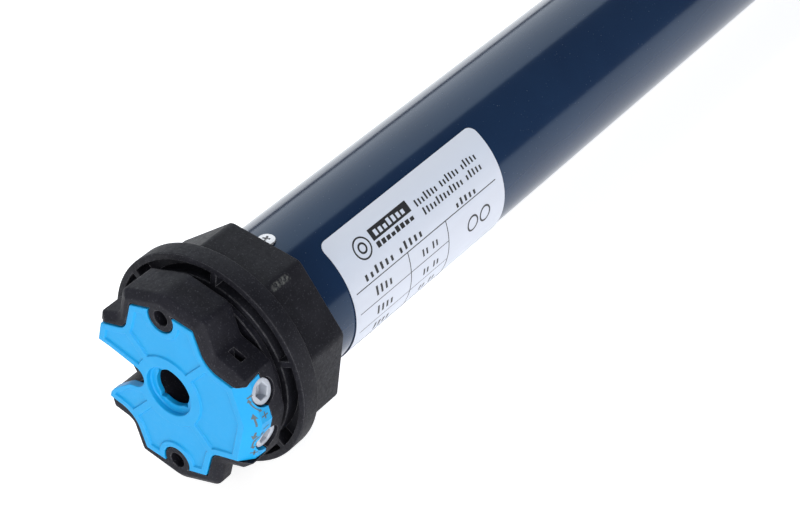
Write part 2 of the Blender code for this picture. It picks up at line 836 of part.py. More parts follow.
def build_label(material):
    """A thin sheet bent round the tube, with rounded corners."""
    inner = TUBE_RADIUS + LABEL_LIFT
    outer = inner + LABEL_THICKNESS
    height = math.radians(LABEL_TO_DEG - LABEL_FROM_DEG) * outer
    width = LABEL_END - LABEL_START
    columns = []
    for k in range(4):
        angle = math.pi / 2.0 * k / 3.0
        run = LABEL_CORNER * (1.0 - math.cos(angle))
        cut_back = LABEL_CORNER * (1.0 - math.sin(angle))
        columns.append((run, cut_back))
    stations = [(run, back) for run, back in columns]
    stations += [(width - run, back) for run, back in reversed(columns)]
    rows = 18
    bm = bmesh.new()
    layers = []
    for radius in (inner, outer):
        grid = []
        for along, back in stations:
            line = []
            for row in range(rows + 1):
                share = back + (height - 2.0 * back) * row / rows
                angle = math.radians(LABEL_FROM_DEG) + share / outer
                line.append(
                    bm.verts.new(
                        (
                            radius * math.cos(angle),
                            LABEL_START + along,
                            radius * math.sin(angle),
                        )
                    )
                )
            grid.append(line)
        layers.append(grid)
    low, high = layers
    last = len(stations) - 1
    for grid in layers:
        for i in range(last):
            for j in range(rows):
                bm.faces.new(
                    (grid[i][j], grid[i + 1][j], grid[i + 1][j + 1], grid[i][j + 1])
                )
    for i in range(last):
        for j in (0, rows):
            bm.faces.new((low[i][j], low[i + 1][j], high[i + 1][j], high[i][j]))
    for j in range(rows):
        for i in (0, last):
            bm.faces.new((low[i][j], low[i][j + 1], high[i][j + 1], high[i][j]))
    return finish(add_object("rating_label", mesh_from("label", bm)), material)


def build_pan_screw(name, y, sign, length, material):
    """A pan-head screw that passes through the tube wall along Z."""
    head_base = TUBE_RADIUS + PAN_HEAD_LIFT
    steps = [
        (0.0012, head_base - length),
        (0.0012, head_base),
        (PAN_HEAD_RADIUS, head_base),
        (PAN_HEAD_RADIUS, head_base + 0.0005),
        (PAN_HEAD_RADIUS - 0.0008, head_base + PAN_HEAD_HEIGHT),
    ]
    screw = add_object(name, rod(name, steps, ROUND_SMALL))
    for turn in (0.0, math.pi / 2.0):
        slot = box(-PAN_SLOT_REACH, PAN_SLOT_REACH, -0.0003, 0.0003)
        tool = prism("slot", slot, head_base + 0.0005, head_base + 0.0030)
        cut(screw, tool, (0.0, 0.0, 0.0), turn)
    screw.location = (0.0, y, 0.0)
    screw.rotation_euler = (sign * math.pi / 2.0, 0.0, 0.0)
    return finish(screw, material)


def build_limit_unit(moulding, steel, brass, red):
    """Frame, counter shaft, cam wheels, their axle and two micro-switches."""
    frame = add_object(
        "limit_frame",
        prism("wall", circle(0.0205, ROUND_MEDIUM + 4), LIMIT_FRONT, LIMIT_FRONT + LIMIT_WALL),
    )
    rear = LIMIT_REAR - LIMIT_WALL
    join(frame, prism("wall", circle(0.0205, ROUND_MEDIUM + 4), rear, LIMIT_REAR))
    for side in (1.0, -1.0):
        low, high = sorted((side * 0.0150, side * 0.0182))
        bar = box(low, high, -0.0070, 0.0070)
        join(frame, prism("bar", bar, LIMIT_FRONT + 0.0010, LIMIT_REAR - 0.0010))
    shaft_z = -pinion_distance()
    cam_z = shaft_z + counter_distance()
    shaft_hole = circle(LIMIT_SHAFT_RADIUS + GAP, ROUND_SMALL, (0.0, shaft_z))
    cut(frame, prism("shaft", shaft_hole, LIMIT_FRONT - 0.0010, LIMIT_REAR + 0.0010))
    axle_hole = circle(CAM_AXLE_RADIUS + GAP, ROUND_SMALL, (0.0, cam_z))
    cut(frame, prism("axle", axle_hole, LIMIT_FRONT - 0.0010, LIMIT_REAR + 0.0010))
    finish(frame, moulding)

    pinion = gear_outline(
        PINION_TEETH,
        pinion_pitch(),
        CROWN_TOOTH_IN,
        CROWN_TOOTH_OUT,
        0.20,
        0.56,
        -math.pi / 2.0,
    )
    shaft = add_object("limit_shaft", prism("pinion", pinion, PINION_FRONT, PINION_REAR))
    core = [
        (LIMIT_SHAFT_RADIUS, PINION_FRONT - 0.0003),
        (LIMIT_SHAFT_RADIUS, LIMIT_REAR - 0.0010),
    ]
    join(shaft, rod("core", core, ROUND_SMALL))
    driver = external_gear(COUNTER_DRIVER_TEETH, COUNTER_MODULE, math.pi / 2.0)
    driver_rear = CAM_DOWN_Y + CAM_WIDTH - 0.0010
    join(shaft, prism("driver", driver, CAM_UP_Y + 0.0010, driver_rear))
    shaft.location = (0.0, 0.0, shaft_z)
    finish(shaft, brass)

    axle = rod(
        "cam_axle",
        [
            (CAM_AXLE_RADIUS, LIMIT_FRONT + 0.0002),
            (CAM_AXLE_RADIUS, LIMIT_REAR - 0.0002),
        ],
        20,
    )
    add_object("cam_axle", axle, steel, (0.0, 0.0, cam_z))

    pitch = 2.0 * math.pi / COUNTER_WHEEL_TEETH
    for name, y in (("cam_wheel_up", CAM_UP_Y), ("cam_wheel_down", CAM_DOWN_Y)):
        teeth = external_gear(
            COUNTER_WHEEL_TEETH, COUNTER_MODULE, -math.pi / 2.0 + pitch / 2.0
        )
        wheel = add_object(name, prism(name, teeth, y, y + COUNTER_WHEEL_WIDTH))
        lobe = []
        for k in range(18):
            angle = 2.0 * math.pi * k / 18.0
            away = abs((math.degrees(angle) - 270.0 + 180.0) % 360.0 - 180.0)
            lift = max(0.0, 1.0 - away / CAM_FLANK_DEGREES)
            reach = CAM_RADIUS + CAM_LIFT * lift
            lobe.append((reach * math.cos(angle), reach * math.sin(angle)))
        join(wheel, prism("cam", lobe, y + 0.0020, y + CAM_WIDTH))
        bore = circle(CAM_AXLE_RADIUS + GAP, ROUND_SMALL)
        cut(wheel, prism("bore", bore, y - 0.0010, y + 0.0100))
        wheel.location = (0.0, 0.0, cam_z)
        finish(wheel, red)

    for name, y in (("up", CAM_UP_Y + 0.0032), ("down", CAM_DOWN_Y + 0.0032)):
        case = box(-SWITCH_HALF_WIDTH, SWITCH_HALF_WIDTH, SWITCH_BOTTOM, SWITCH_TOP)
        body = add_object(
            "switch_" + name,
            prism("case", case, y - 0.0015, y - 0.0015 + SWITCH_DEPTH),
        )
        slot_depth = SWITCH_BOTTOM + 0.0026
        middle = y - 0.0015 + SWITCH_DEPTH / 2.0
        hole = box(-0.0013, 0.0013, SWITCH_BOTTOM - 0.0010, slot_depth)
        cut(body, prism("hole", hole, middle - 0.0010, middle + 0.0010))
        finish(body, moulding)
        foot = cam_z + CAM_RADIUS + 0.0013
        top = slot_depth - PLUNGER_TRAVEL - 0.0004
        button = box(-0.0010, 0.0010, foot, top)
        plunger = prism("plunger", button, middle - 0.0007, middle + 0.0007)
        add_object("switch_plunger_" + name, plunger, red)


def counter_distance():
    return (COUNTER_DRIVER_TEETH + COUNTER_WHEEL_TEETH) * COUNTER_MODULE / 2.0


def build_capacitor(material):
    steps = [
        (CAPACITOR_RADIUS - 0.0010, CAPACITOR_FRONT),
        (CAPACITOR_RADIUS, CAPACITOR_FRONT + 0.0010),
        (CAPACITOR_RADIUS, CAPACITOR_REAR - 0.0010),
        (CAPACITOR_RADIUS - 0.0010, CAPACITOR_REAR),
    ]
    can = add_object("capacitor", rod("can", steps, ROUND_MEDIUM + 4))
    for side in (1.0, -1.0):
        tab = box(side * 0.0060 - 0.0024, side * 0.0060 + 0.0024, -0.0004, 0.0004)
        join(can, prism("tab", tab, CAPACITOR_FRONT - 0.0050, CAPACITOR_FRONT + 0.0010))
    return finish(can, material)


def build_end_shield(name, front, opens_rear, material):
    rear = front + SHIELD_THICKNESS
    shield = add_object(name, prism(name, circle(INNER_RADIUS, ROUND_LARGE), front, rear))
    seat_depth = BEARING_WIDTH + 0.0010
    seat = BEARING_RADIUS + GAP
    if opens_rear:
        tool = prism("seat", circle(seat, ROUND_MEDIUM), rear - seat_depth, rear + 0.0010)
    else:
        tool = prism("seat", circle(seat, ROUND_MEDIUM), front - 0.0010, front + seat_depth)
    cut(shield, tool)
    bore = circle(SHAFT_RADIUS + 0.0006, ROUND_MEDIUM - 4)
    cut(shield, prism("bore", bore, front - 0.0010, rear + 0.0010))
    return finish(shield, material)


def build_bearing(name, front, material):
    profile = [
        (BEARING_RADIUS, front),
        (BEARING_RADIUS, front + BEARING_WIDTH),
        (BEARING_BORE, front + BEARING_WIDTH),
        (BEARING_BORE, front),
    ]
    return add_object(name, turned(name, profile, ROUND_MEDIUM), material)


def build_stator(iron, copper):
    """A slotted lamination stack and one winding that fills its slots."""
    stack = add_object(
        "stator_core", prism("stack", circle(INNER_RADIUS, ROUND_LARGE), STATOR_FRONT, STATOR_REAR)
    )
    cut(stack, prism("bore", circle(STATOR_BORE, ROUND_LARGE), STATOR_FRONT - 0.001, STATOR_REAR + 0.001))
    for k in range(STATOR_SLOTS):
        turn = 2.0 * math.pi * k / STATOR_SLOTS
        slot = box(SLOT_INNER, SLOT_OUTER, -SLOT_HALF_WIDTH, SLOT_HALF_WIDTH)
        tool = prism("slot", slot, STATOR_FRONT - 0.0010, STATOR_REAR + 0.0010)
        cut(stack, tool, (0.0, 0.0, 0.0), turn)
        mouth = box(STATOR_BORE - 0.0010, SLOT_INNER + 0.0005, -SLOT_MOUTH_HALF, SLOT_MOUTH_HALF)
        tool = prism("mouth", mouth, STATOR_FRONT - 0.0010, STATOR_REAR + 0.0010)
        cut(stack, tool, (0.0, 0.0, 0.0), turn)
    finish(stack, iron)

    inner = SLOT_INNER + GAP
    outer = SLOT_OUTER - GAP
    profile = [
        (outer, STATOR_FRONT - GAP),
        (inner, STATOR_FRONT - GAP),
        (inner, STATOR_FRONT - COIL_HEIGHT),
        (outer - 0.0010, STATOR_FRONT - COIL_HEIGHT - 0.0010),
        (outer + 0.0006, STATOR_FRONT - COIL_HEIGHT + 0.0020),
    ]
    coil = add_object("stator_winding", turned("coil", profile, ROUND_MEDIUM + 4))
    middle = STATOR_FRONT + STATOR_REAR
    mirrored = [(r, middle - y) for r, y in profile]
    join(coil, turned("coil", mirrored, ROUND_MEDIUM + 4))
    for k in range(STATOR_SLOTS):
        turn = 2.0 * math.pi * k / STATOR_SLOTS
        half = SLOT_HALF_WIDTH - GAP
        bar = box(inner + 0.0002, outer - 0.0002, -half, half)
        tool = prism("bar", bar, STATOR_FRONT - 0.0030, STATOR_REAR + 0.0030)
        join(coil, tool, (0.0, 0.0, 0.0), turn)
    return finish(coil, copper)


def build_rotor(iron, steel, lining):
    core_profile = [
        (ROTOR_RADIUS, STATOR_FRONT),
        (ROTOR_RADIUS, STATOR_REAR),
        (0.0095, STATOR_REAR + 0.0035),
        (SHAFT_RADIUS + GAP, STATOR_REAR + 0.0035),
        (SHAFT_RADIUS + GAP, STATOR_FRONT - 0.0035),
        (0.0095, STATOR_FRONT - 0.0035),
    ]
    add_object("rotor_core", turned("core", core_profile, ROUND_LARGE), iron)

    sun = external_gear(SUN_TEETH, GEAR_MODULE, math.pi / 2.0)
    neck = 0.0034
    sun_front = STAGE_FRONT[0] - 0.0004
    shaft = add_object(
        "rotor_shaft",
        prism("sun", sun, sun_front, sun_front + PLANET_WIDTH[0] + 0.0004),
    )
    steps = [
        (SHAFT_RADIUS, SHIELD_FRONT + 0.0010),
        (SHAFT_RADIUS, BRAKE_DISC_REAR + 0.0010),
        (neck, BRAKE_DISC_REAR + 0.0010),
        (neck, sun_front + 0.0010),
    ]
    join(shaft, rod("shaft", steps, ROUND_MEDIUM - 4))
    finish(shaft, steel)

    disc_profile = [
        (BRAKE_DISC_RADIUS, BRAKE_DISC_FRONT),
        (BRAKE_DISC_RADIUS, BRAKE_DISC_REAR),
        (SHAFT_RADIUS + GAP, BRAKE_DISC_REAR),
        (SHAFT_RADIUS + GAP, BRAKE_DISC_FRONT - 0.0020),
        (0.0070, BRAKE_DISC_FRONT - 0.0020),
        (0.0070, BRAKE_DISC_FRONT),
    ]
    add_object("brake_disc", turned("disc", disc_profile, ROUND_MEDIUM + 4), lining)


def build_brake(alloy, iron, steel):
    wall = 0.0175
    profile = [
        (INNER_RADIUS, BRAKE_FRONT),
        (INNER_RADIUS, BRAKE_REAR),
        (0.0046, BRAKE_REAR),
        (0.0046, BRAKE_REAR - 0.0040),
        (wall, BRAKE_REAR - 0.0040),
        (wall, BRAKE_FRONT),
    ]
    add_object("brake_housing", turned("housing", profile, ROUND_LARGE), alloy)
    armature = [
        (ARMATURE_RADIUS, ARMATURE_FRONT),
        (ARMATURE_RADIUS, ARMATURE_REAR),
        (0.0060, ARMATURE_REAR),
        (0.0060, ARMATURE_FRONT),
    ]
    add_object("brake_armature", turned("armature", armature, ROUND_MEDIUM + 4), iron)

    rise_start = ARMATURE_REAR + GAP + SPRING_WIRE
    rise_end = BRAKE_REAR - 0.0040 - GAP - SPRING_WIRE
    steps = SPRING_TURNS * 10
    sides = 5
    sections = []
    for k in range(steps + 1):
        share = k / steps
        angle = 2.0 * math.pi * SPRING_TURNS * share
        out = Vector((math.cos(angle), 0.0, math.sin(angle)))
        middle = out * SPRING_RADIUS
        middle.y = rise_start + (rise_end - rise_start) * share
        ring = []
        for side in range(sides):
            around = 2.0 * math.pi * side / sides
            point = middle + out * SPRING_WIRE * math.cos(around)
            point.y += SPRING_WIRE * math.sin(around)
            ring.append(tuple(point))
        sections.append(ring)
    add_object("brake_spring", loft("spring", sections), steel)


def planet_angle(k):
    return math.pi / 2.0 + 2.0 * math.pi * k / PLANETS


def planet_distance():
    return (SUN_TEETH + PLANET_TEETH) * GEAR_MODULE / 2.0


def build_gearbox(alloy, moulding, steel, bronze):
    front = prism("front", circle(INNER_RADIUS, ROUND_LARGE), GEARBOX_FRONT, RING_FRONT - GAP)
    cover = add_object("gearbox_front_plate", front)
    hole = circle(0.0046, ROUND_MEDIUM - 4)
    cut(cover, prism("hole", hole, GEARBOX_FRONT - 0.0010, RING_FRONT + 0.0010))
    finish(cover, alloy)

    ring = add_object(
        "ring_gear", prism("ring", circle(INNER_RADIUS, ROUND_LARGE), RING_FRONT, RING_REAR)
    )
    hollow = internal_gear(RING_TEETH, GEAR_MODULE, math.pi / 2.0)
    cut(ring, prism("teeth", hollow, RING_FRONT - 0.0010, RING_REAR + 0.0010))
    for sign in (1.0, -1.0):
        tool = rod("screw", [(0.0015, 0.0), (0.0015, 0.0100)], ROUND_SMALL)
        for vertex in tool.vertices:
            vx, vy, vz = vertex.co
            vertex.co = (vx, GEARBOX_SCREW_Y + vz, sign * (0.0186 + vy))
        fix_normals(tool)
        cut(ring, tool)
    finish(ring, moulding)

    for stage in range(3):
        planet_front = STAGE_FRONT[stage]
        width = PLANET_WIDTH[stage]
        carrier_front = planet_front + width + 0.0006
        carrier_rear = carrier_front + CARRIER_THICKNESS
        disc = circle(CARRIER_RADIUS, ROUND_MEDIUM + 4)
        name = "carrier_" + str(stage + 1) if stage < 2 else "output_shaft"
        carrier = add_object(name, prism(name, disc, carrier_front, carrier_rear))
        for k in range(PLANETS):
            angle = planet_angle(k)
            centre = (
                planet_distance() * math.cos(angle),
                planet_distance() * math.sin(angle),
            )
            pin = circle(PIN_RADIUS, ROUND_SMALL, centre)
            join(carrier, prism("pin", pin, planet_front + 0.0004, carrier_front + 0.0010))
            phase = angle + math.pi / PLANET_TEETH * (PLANET_TEETH % 2 == 0)
            teeth = external_gear(PLANET_TEETH, GEAR_MODULE, phase)
            planet_name = "planet_" + str(stage + 1) + "_" + str(k + 1)
            planet = add_object(
                planet_name, prism("planet", teeth, planet_front, planet_front + width)
            )
            bore = circle(PLANET_BORE, ROUND_SMALL)
            cut(planet, prism("bore", bore, planet_front - 0.001, planet_front + 0.02))
            planet.location = (centre[0], 0.0, centre[1])
            finish(planet, steel)
        if stage < 2:
            next_front = STAGE_FRONT[stage + 1]
            next_rear = next_front + PLANET_WIDTH[stage + 1]
            sun = external_gear(SUN_TEETH, GEAR_MODULE, math.pi / 2.0)
            join(carrier, prism("sun", sun, carrier_rear - 0.0010, next_rear))
            finish(carrier, steel)
        else:
            steps = [
                (OUTPUT_RADIUS, carrier_rear - 0.0010),
                (OUTPUT_RADIUS, OUTPUT_COVER_REAR + 0.0020),
            ]
            join(carrier, rod("shaft", steps, ROUND_MEDIUM))
            hexagon = rounded_polygon(6, HEX_FLATS, 0.0008, 90.0, 2)
            start = OUTPUT_COVER_REAR + 0.0010
            join(carrier, prism("hexagon", hexagon, start, OUTPUT_END))
            tap = circle(0.0021, ROUND_SMALL)
            cut(carrier, prism("tap", tap, OUTPUT_END - 0.0140, OUTPUT_END + 0.0010))
            finish(carrier, steel)

    flange_front = TUBE_END + GAP
    profile = [
        (INNER_RADIUS, RING_REAR + GAP),
        (INNER_RADIUS, flange_front),
        (OUTPUT_FLANGE_RADIUS, flange_front),
        (OUTPUT_FLANGE_RADIUS, OUTPUT_COVER_REAR - 0.0006),
        (OUTPUT_FLANGE_RADIUS - 0.0006, OUTPUT_COVER_REAR),
        (0.0096, OUTPUT_COVER_REAR),
        (0.0096, RING_REAR + GAP),
    ]
    add_object("output_cover", turned("cover", profile, ROUND_LARGE), alloy)
    bush = [
        (0.0093, RING_REAR + 0.0006),
        (0.0093, OUTPUT_COVER_REAR - 0.0010),
        (OUTPUT_RADIUS + 0.0002, OUTPUT_COVER_REAR - 0.0010),
        (OUTPUT_RADIUS + 0.0002, RING_REAR + 0.0006),
    ]
    add_object("output_bush", turned("bush", bush, ROUND_MEDIUM + 4), bronze)


def build_drive_wheel(moulding, steel):
    octagon = rounded_polygon(8, OCTAGON_FLATS, OCTAGON_CORNER, 22.5)
    wheel = add_object("drive_wheel", prism("wheel", octagon, WHEEL_FRONT, WHEEL_REAR))
    for k in range(8):
        turn = math.pi / 8.0 + math.pi / 4.0 * k
        half_angle = math.pi / 8.0
        outer_flat = OCTAGON_FLATS / 2.0 - WHEEL_RIM
        outline = []
        inner = WHEEL_HUB_RADIUS
        half = WHEEL_RIB_WIDTH / 2.0
        for radius, side in ((inner, -1), (outer_flat, -1), (outer_flat, 1), (inner, 1)):
            if radius == inner:
                angle = side * (half_angle - math.asin(half / radius))
                outline.append((radius * math.cos(angle), radius * math.sin(angle)))
            else:
                reach = side * (radius * math.tan(half_angle) - half / math.cos(half_angle))
                outline.append((radius, reach))
        tool = prism("pocket", outline, WHEEL_FRONT - 0.0010, WHEEL_REAR - 0.0030)
        cut(wheel, tool, (0.0, 0.0, 0.0), turn)
    hexagon = rounded_polygon(6, HEX_FLATS + 2.0 * GAP, 0.0008, 90.0, 2)
    cut(wheel, prism("hexagon", hexagon, WHEEL_FRONT - 0.0010, WHEEL_REAR + 0.0010))
    finish(wheel, moulding)

    washer = [
        (0.0085, OUTPUT_END + GAP),
        (0.0085, OUTPUT_END + 0.0015),
        (0.0026, OUTPUT_END + 0.0015),
        (0.0026, OUTPUT_END + GAP),
    ]
    add_object("wheel_washer", turned("washer", washer, ROUND_MEDIUM), steel)
    steps = [
        (0.0018, OUTPUT_END - 0.0120),
        (0.0018, OUTPUT_END + 0.0018),
        (0.0040, OUTPUT_END + 0.0018),
        (0.0040, OUTPUT_END + 0.0038),
        (0.0030, OUTPUT_END + WHEEL_SCREW_END),
    ]
    screw = add_object("wheel_screw", rod("wheel_screw", steps, ROUND_SMALL))
    for turn in (0.0, math.pi / 2.0):
        slot = box(-0.0022, 0.0022, -0.0004, 0.0004)
        tool = prism("slot", slot, OUTPUT_END + 0.0030, OUTPUT_END + 0.0060)
        cut(screw, tool, (0.0, 0.0, 0.0), turn)
    finish(screw, steel)


def main():
    for obj in list(bpy.data.objects):
        bpy.data.objects.remove(obj, do_unlink=True)

    black = make_material("black_nylon", (0.022, 0.022, 0.024), 0.55, 0.0)
    blue = make_material("blue_plastic", (0.03, 0.40, 0.86), 0.42, 0.0)
    white = make_material("white_plastic", (0.78, 0.79, 0.80), 0.40, 0.0)
    navy = make_material("navy_paint", (0.008, 0.032, 0.085), 0.28, 0.15)
    foil = make_material("silver_foil", (0.68, 0.70, 0.74), 0.38, 0.60)
    steel = make_material("bright_steel", (0.62, 0.62, 0.63), 0.32, 1.0)
    iron = make_material("lamination_iron", (0.30, 0.30, 0.32), 0.45, 1.0)
    alloy = make_material("cast_alloy", (0.55, 0.55, 0.57), 0.50, 0.9)
    copper = make_material("copper_winding", (0.62, 0.24, 0.10), 0.40, 0.9)
    brass = make_material("brass", (0.70, 0.50, 0.20), 0.35, 1.0)
    cream = make_material("cream_moulding", (0.72, 0.70, 0.62), 0.50, 0.0)
    red = make_material("red_moulding", (0.55, 0.05, 0.03), 0.50, 0.0)
    lining = make_material("friction_lining", (0.10, 0.08, 0.07), 0.85, 0.0)

    build_tube(navy)
    build_label(foil)
    build_head_body(black)
    build_face_plate(blue)
    build_adjuster("limit_adjuster_up", 1.0, white)
    build_adjuster("limit_adjuster_down", -1.0, white)
    build_crown(black)
    build_pan_screw("head_screw_top", HEAD_SCREW_Y, 1.0, 0.0030, steel)
    build_pan_screw("head_screw_bottom", HEAD_SCREW_Y, -1.0, 0.0030, steel)
    build_limit_unit(cream, steel, brass, red)
    build_capacitor(alloy)
    build_end_shield("end_shield_front", SHIELD_FRONT, True, alloy)
    build_bearing(
        "bearing_front",
        SHIELD_FRONT + SHIELD_THICKNESS - BEARING_WIDTH - 0.0005,
        steel,
    )
    build_stator(iron, copper)
    build_end_shield("end_shield_rear", REAR_SHIELD_FRONT, False, alloy)
    build_bearing("bearing_rear", REAR_SHIELD_FRONT + 0.0005, steel)
    build_rotor(iron, steel, lining)
    build_brake(alloy, iron, steel)
    build_gearbox(alloy, cream, steel, brass)
    build_pan_screw("gearbox_screw_top", GEARBOX_SCREW_Y, 1.0, 0.0040, steel)
    build_pan_screw("gearbox_screw_bottom", GEARBOX_SCREW_Y, -1.0, 0.0040, steel)
    build_drive_wheel(black, steel)

    motor = add_pivot("motor", (0.0, -MOTOR_LENGTH / 2.0, 0.0))
    for obj in bpy.data.objects:
        if obj.type == "MESH" and obj.parent is None:
            obj.parent = motor


main()
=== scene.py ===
"""Looks for the tubular roller shutter motor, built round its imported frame.

The tube runs along +Y, the head's face looks along -Y and +Z is up through the
two bracket screw holes. Depths named *_Y are measured from the head's face, and
FACE_Y carries them into the shared frame. Lengths are in metres.
"""

import math

import bmesh
import bpy
from mathutils import Matrix, Vector


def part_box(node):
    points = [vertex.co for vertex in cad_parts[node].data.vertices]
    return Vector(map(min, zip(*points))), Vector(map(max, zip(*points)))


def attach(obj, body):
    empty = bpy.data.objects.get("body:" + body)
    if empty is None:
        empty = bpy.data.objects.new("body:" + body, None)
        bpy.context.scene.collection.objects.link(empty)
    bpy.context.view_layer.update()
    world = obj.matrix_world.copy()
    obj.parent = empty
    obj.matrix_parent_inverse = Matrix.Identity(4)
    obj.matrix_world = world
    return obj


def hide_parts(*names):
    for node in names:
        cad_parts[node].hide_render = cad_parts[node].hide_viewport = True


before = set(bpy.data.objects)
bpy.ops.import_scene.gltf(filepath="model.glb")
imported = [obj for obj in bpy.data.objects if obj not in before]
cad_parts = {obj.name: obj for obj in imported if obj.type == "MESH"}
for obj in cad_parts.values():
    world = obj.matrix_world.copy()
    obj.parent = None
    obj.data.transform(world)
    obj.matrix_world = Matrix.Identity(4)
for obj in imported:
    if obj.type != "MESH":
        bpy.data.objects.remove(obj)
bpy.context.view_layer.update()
FACE_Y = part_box("face_plate")[0].y

GAP = 0.0003
# How far cutting tools run past a surface, past the plate, and past the whole object
OVERCUT = 0.0010
THROUGH = 0.0100
OUTSIDE = 0.0400
TAU = 2.0 * math.pi

# Tube and label
TUBE_RADIUS = 0.0225
TUBE_WALL = 0.0012
TUBE_START = 0.0389
TUBE_END = 0.4460
LABEL_START = 0.0520
LABEL_END = 0.1245
LABEL_FROM_DEG = -96.0
LABEL_TO_DEG = 62.0
LABEL_INNER = TUBE_RADIUS + 0.00020
LABEL_OUTER = TUBE_RADIUS + 0.00035
LABEL_CORNER = 0.0028
INK_THICKNESS = 0.00003
TABLE_START = 0.0540
TABLE_COLUMNS = (0.0776, 0.0960)
TABLE_END = 0.1212
TABLE_TOP_DEG = 17.8
TABLE_BOTTOM_DEG = -48.0
TABLE_ROWS = 4
TABLE_ROW_DEG = 16.5

# Head: corners are X, Z and a fillet radius
FACE_STEP = 0.0003
CREST_SIDE = 0.0293
CREST_LEFT = 0.0265
CREST_TOP = 0.0310
CREST_ROUND = 0.0060
ROOF_SLOPE_SIDE = 0.26
ARM_SHOULDER = (0.0257, 0.0138, 0.0006)
ARM_FLANK = (0.0227, 0.0156, 0.0006)
ARM_FLANK_LEFT = (0.0226, 0.0163, 0.0008)
ARM_SHOULDER_LOW = (0.0259, 0.0139, 0.0006)
ARM_FLANK_LOW = (0.0226, 0.0167, 0.0012)
ARM_VALLEY = (0.0163, 0.0182, 0.0020)
ARM_TIP = (0.0137, 0.0274, 0.0026)
ARM_TIP_LOW = (0.0137, 0.0274, 0.0040)
CHAMFER_WIDTH = 0.0022
CHAMFER_DEPTH = 0.0016
ARM_REAR = 0.0124
LOWER_ARM_REAR = 0.0056
LOWER_ARM_TOP = -0.0186
LOWER_BOSS_RADIUS = 0.0062
NECK_RADIUS = 0.0220
BASE_FRONT = 0.0142
BASE_RADIUS = 0.0254
BASE_REAR = 0.0160
JOURNAL_RADIUS = 0.0246
JOURNAL_REAR = 0.0382
SPIGOT_RADIUS = 0.0209
SPIGOT_REAR = 0.0600
CAVITY_RADIUS = 0.0186
CAVITY_FRONT = 0.0200
SCREW_PITCH = 0.0480
SCREW_CENTRES = ((0.0, SCREW_PITCH / 2.0), (0.0, -SCREW_PITCH / 2.0))
SCREW_HOLE_RADIUS = 0.0023
SCREW_HOLE_DEPTH = 0.0110
BOSS_RADIUS = 0.0041
LATCH_X = (0.0177, 0.0218)
LATCH_Y = (0.0054, 0.0076)
LATCH_Z = (0.0120, 0.0200)
NOTCH_INNER = 0.0086
NOTCH_INNER_BODY = 0.0105
NOTCH_REAR = 0.0130
GLAND_X = -0.0140
GLAND_RADIUS = 0.0028
HEAD_SCREW_Y = 0.0436
GEARBOX_SCREW_Y = 0.4120
SCREW_HOLE_START = 0.0150

# Face plate
PLATE_CREST_SIDE = 0.0256
PLATE_CREST_TOP = 0.0263
PLATE_SHOULDER = (0.0225, 0.0113, 0.0004)
PLATE_VALLEY = (0.0138, 0.0139, 0.0085)
PLATE_TIP = (0.0106, 0.0243, 0.0005)
PLATE_WIDE_SHOULDER = (0.0220, 0.0134, 0.0004)
PLATE_WIDE_VALLEY = (0.0132, 0.0151, 0.0040)
PLATE_WIDE_TIP = (0.0103, 0.0242, 0.0005)
PLATE_THICKNESS = 0.0022
CENTRE_HOLE_RADIUS = 0.0075
SOCKET_RADIUS = 0.0064
SLEEVE_RADIUS = 0.0083
SLEEVE_REAR = 0.0033
LIP_FRONT = 0.0018
OPENING_RADIUS = 0.0056
OPENING_HALF_SQUARE = 0.0046
SHELL_THICKNESS = 0.0017
SHELL_REAR = 0.0070
SHELL_ROOT = 0.0190
SHELL_BEND = 0.0034
SHELL_REAR_SLOPE = 1.0 / 9.0
PANEL_DEPTH = 0.00050
PANEL_SLOPE = 0.7
RIM_WIDTH = 0.0018
RING_RADIUS = 0.0108
BAR_HALF_WIDTH = 0.0010

# Limit adjusters
ADJUSTER_ANGLE = math.radians(15.8)
ADJUSTER_Y = 0.0070
ADJUSTER_FACE = 0.0276
ADJUSTER_HEAD_RADIUS = 0.0036
ADJUSTER_HEAD_LENGTH = 0.0050
ADJUSTER_STEM_RADIUS = 0.0020
ADJUSTER_STEM_END = 0.0130
ADJUSTER_SOCKET = 0.0040
ADJUSTER_SOCKET_DEPTH = 0.0030
MARK_RADIUS = 0.0047

# Crown
CROWN_FRONT = 0.0163
FLANGE_RADIUS = 0.0326
FLANGE_REAR = 0.0224
CROWN_REAR = 0.0385
OCTAGON_FLATS = 0.0556
OCTAGON_CORNER = 0.0030
OCTAGON_TURN_DEG = 36.0
CROWN_BORE = 0.0249
GROOVE_INNER = 0.0271
GROOVE_OUTER = 0.0306
GROOVE_DEPTH = 0.0045
GROOVE_RIBS = 6
GROOVE_TURN_DEG = 20.7
GROOVE_RIB_WIDTH = 0.0020
CROWN_TEETH = 36
CROWN_TOOTH_OUT = 0.0011
CROWN_TOOTH_IN = 0.0007
CROWN_PITCH_RADIUS = 0.0255
CROWN_GEAR_FRONT = 0.0305
PINION_DISTANCE = 0.0170
PINION_TIP = 0.0092
PINION_FRONT = 0.0315
PINION_REAR = 0.0375

# Far end
OUTPUT_INNER = 0.0210
OUTPUT_BORE = 0.0096
RING_REAR = 0.4200
OUTPUT_COVER_REAR = 0.4510
WHEEL_FRONT = 0.4560
WHEEL_REAR = 0.4720
WHEEL_RIM = 0.0030
WHEEL_HUB_RADIUS = 0.0110
WHEEL_RIB_WIDTH = 0.0022
WHEEL_RECESS = 0.0008
WHEEL_FLOOR = 0.0030
WHEEL_TURN_DEG = 22.5
HEX_FLATS = 0.0110
OUTPUT_END = 0.4730
WHEEL_SCREW_END = 0.0046
PAN_HEAD_RADIUS = 0.0026
PAN_HEAD_HEIGHT = 0.0009
PAN_HEAD_LIFT = 0.0001
PAN_SHANK = 0.0012
SCREW_TAPPED = 0.0014
SCREW_CLEARANCE = 0.0018
WASHER_BORE = 0.0026
WASHER_RADIUS = 0.0085
WASHER_REAR = OUTPUT_END + 0.0015
WHEEL_SCREW_SHANK = 0.0018
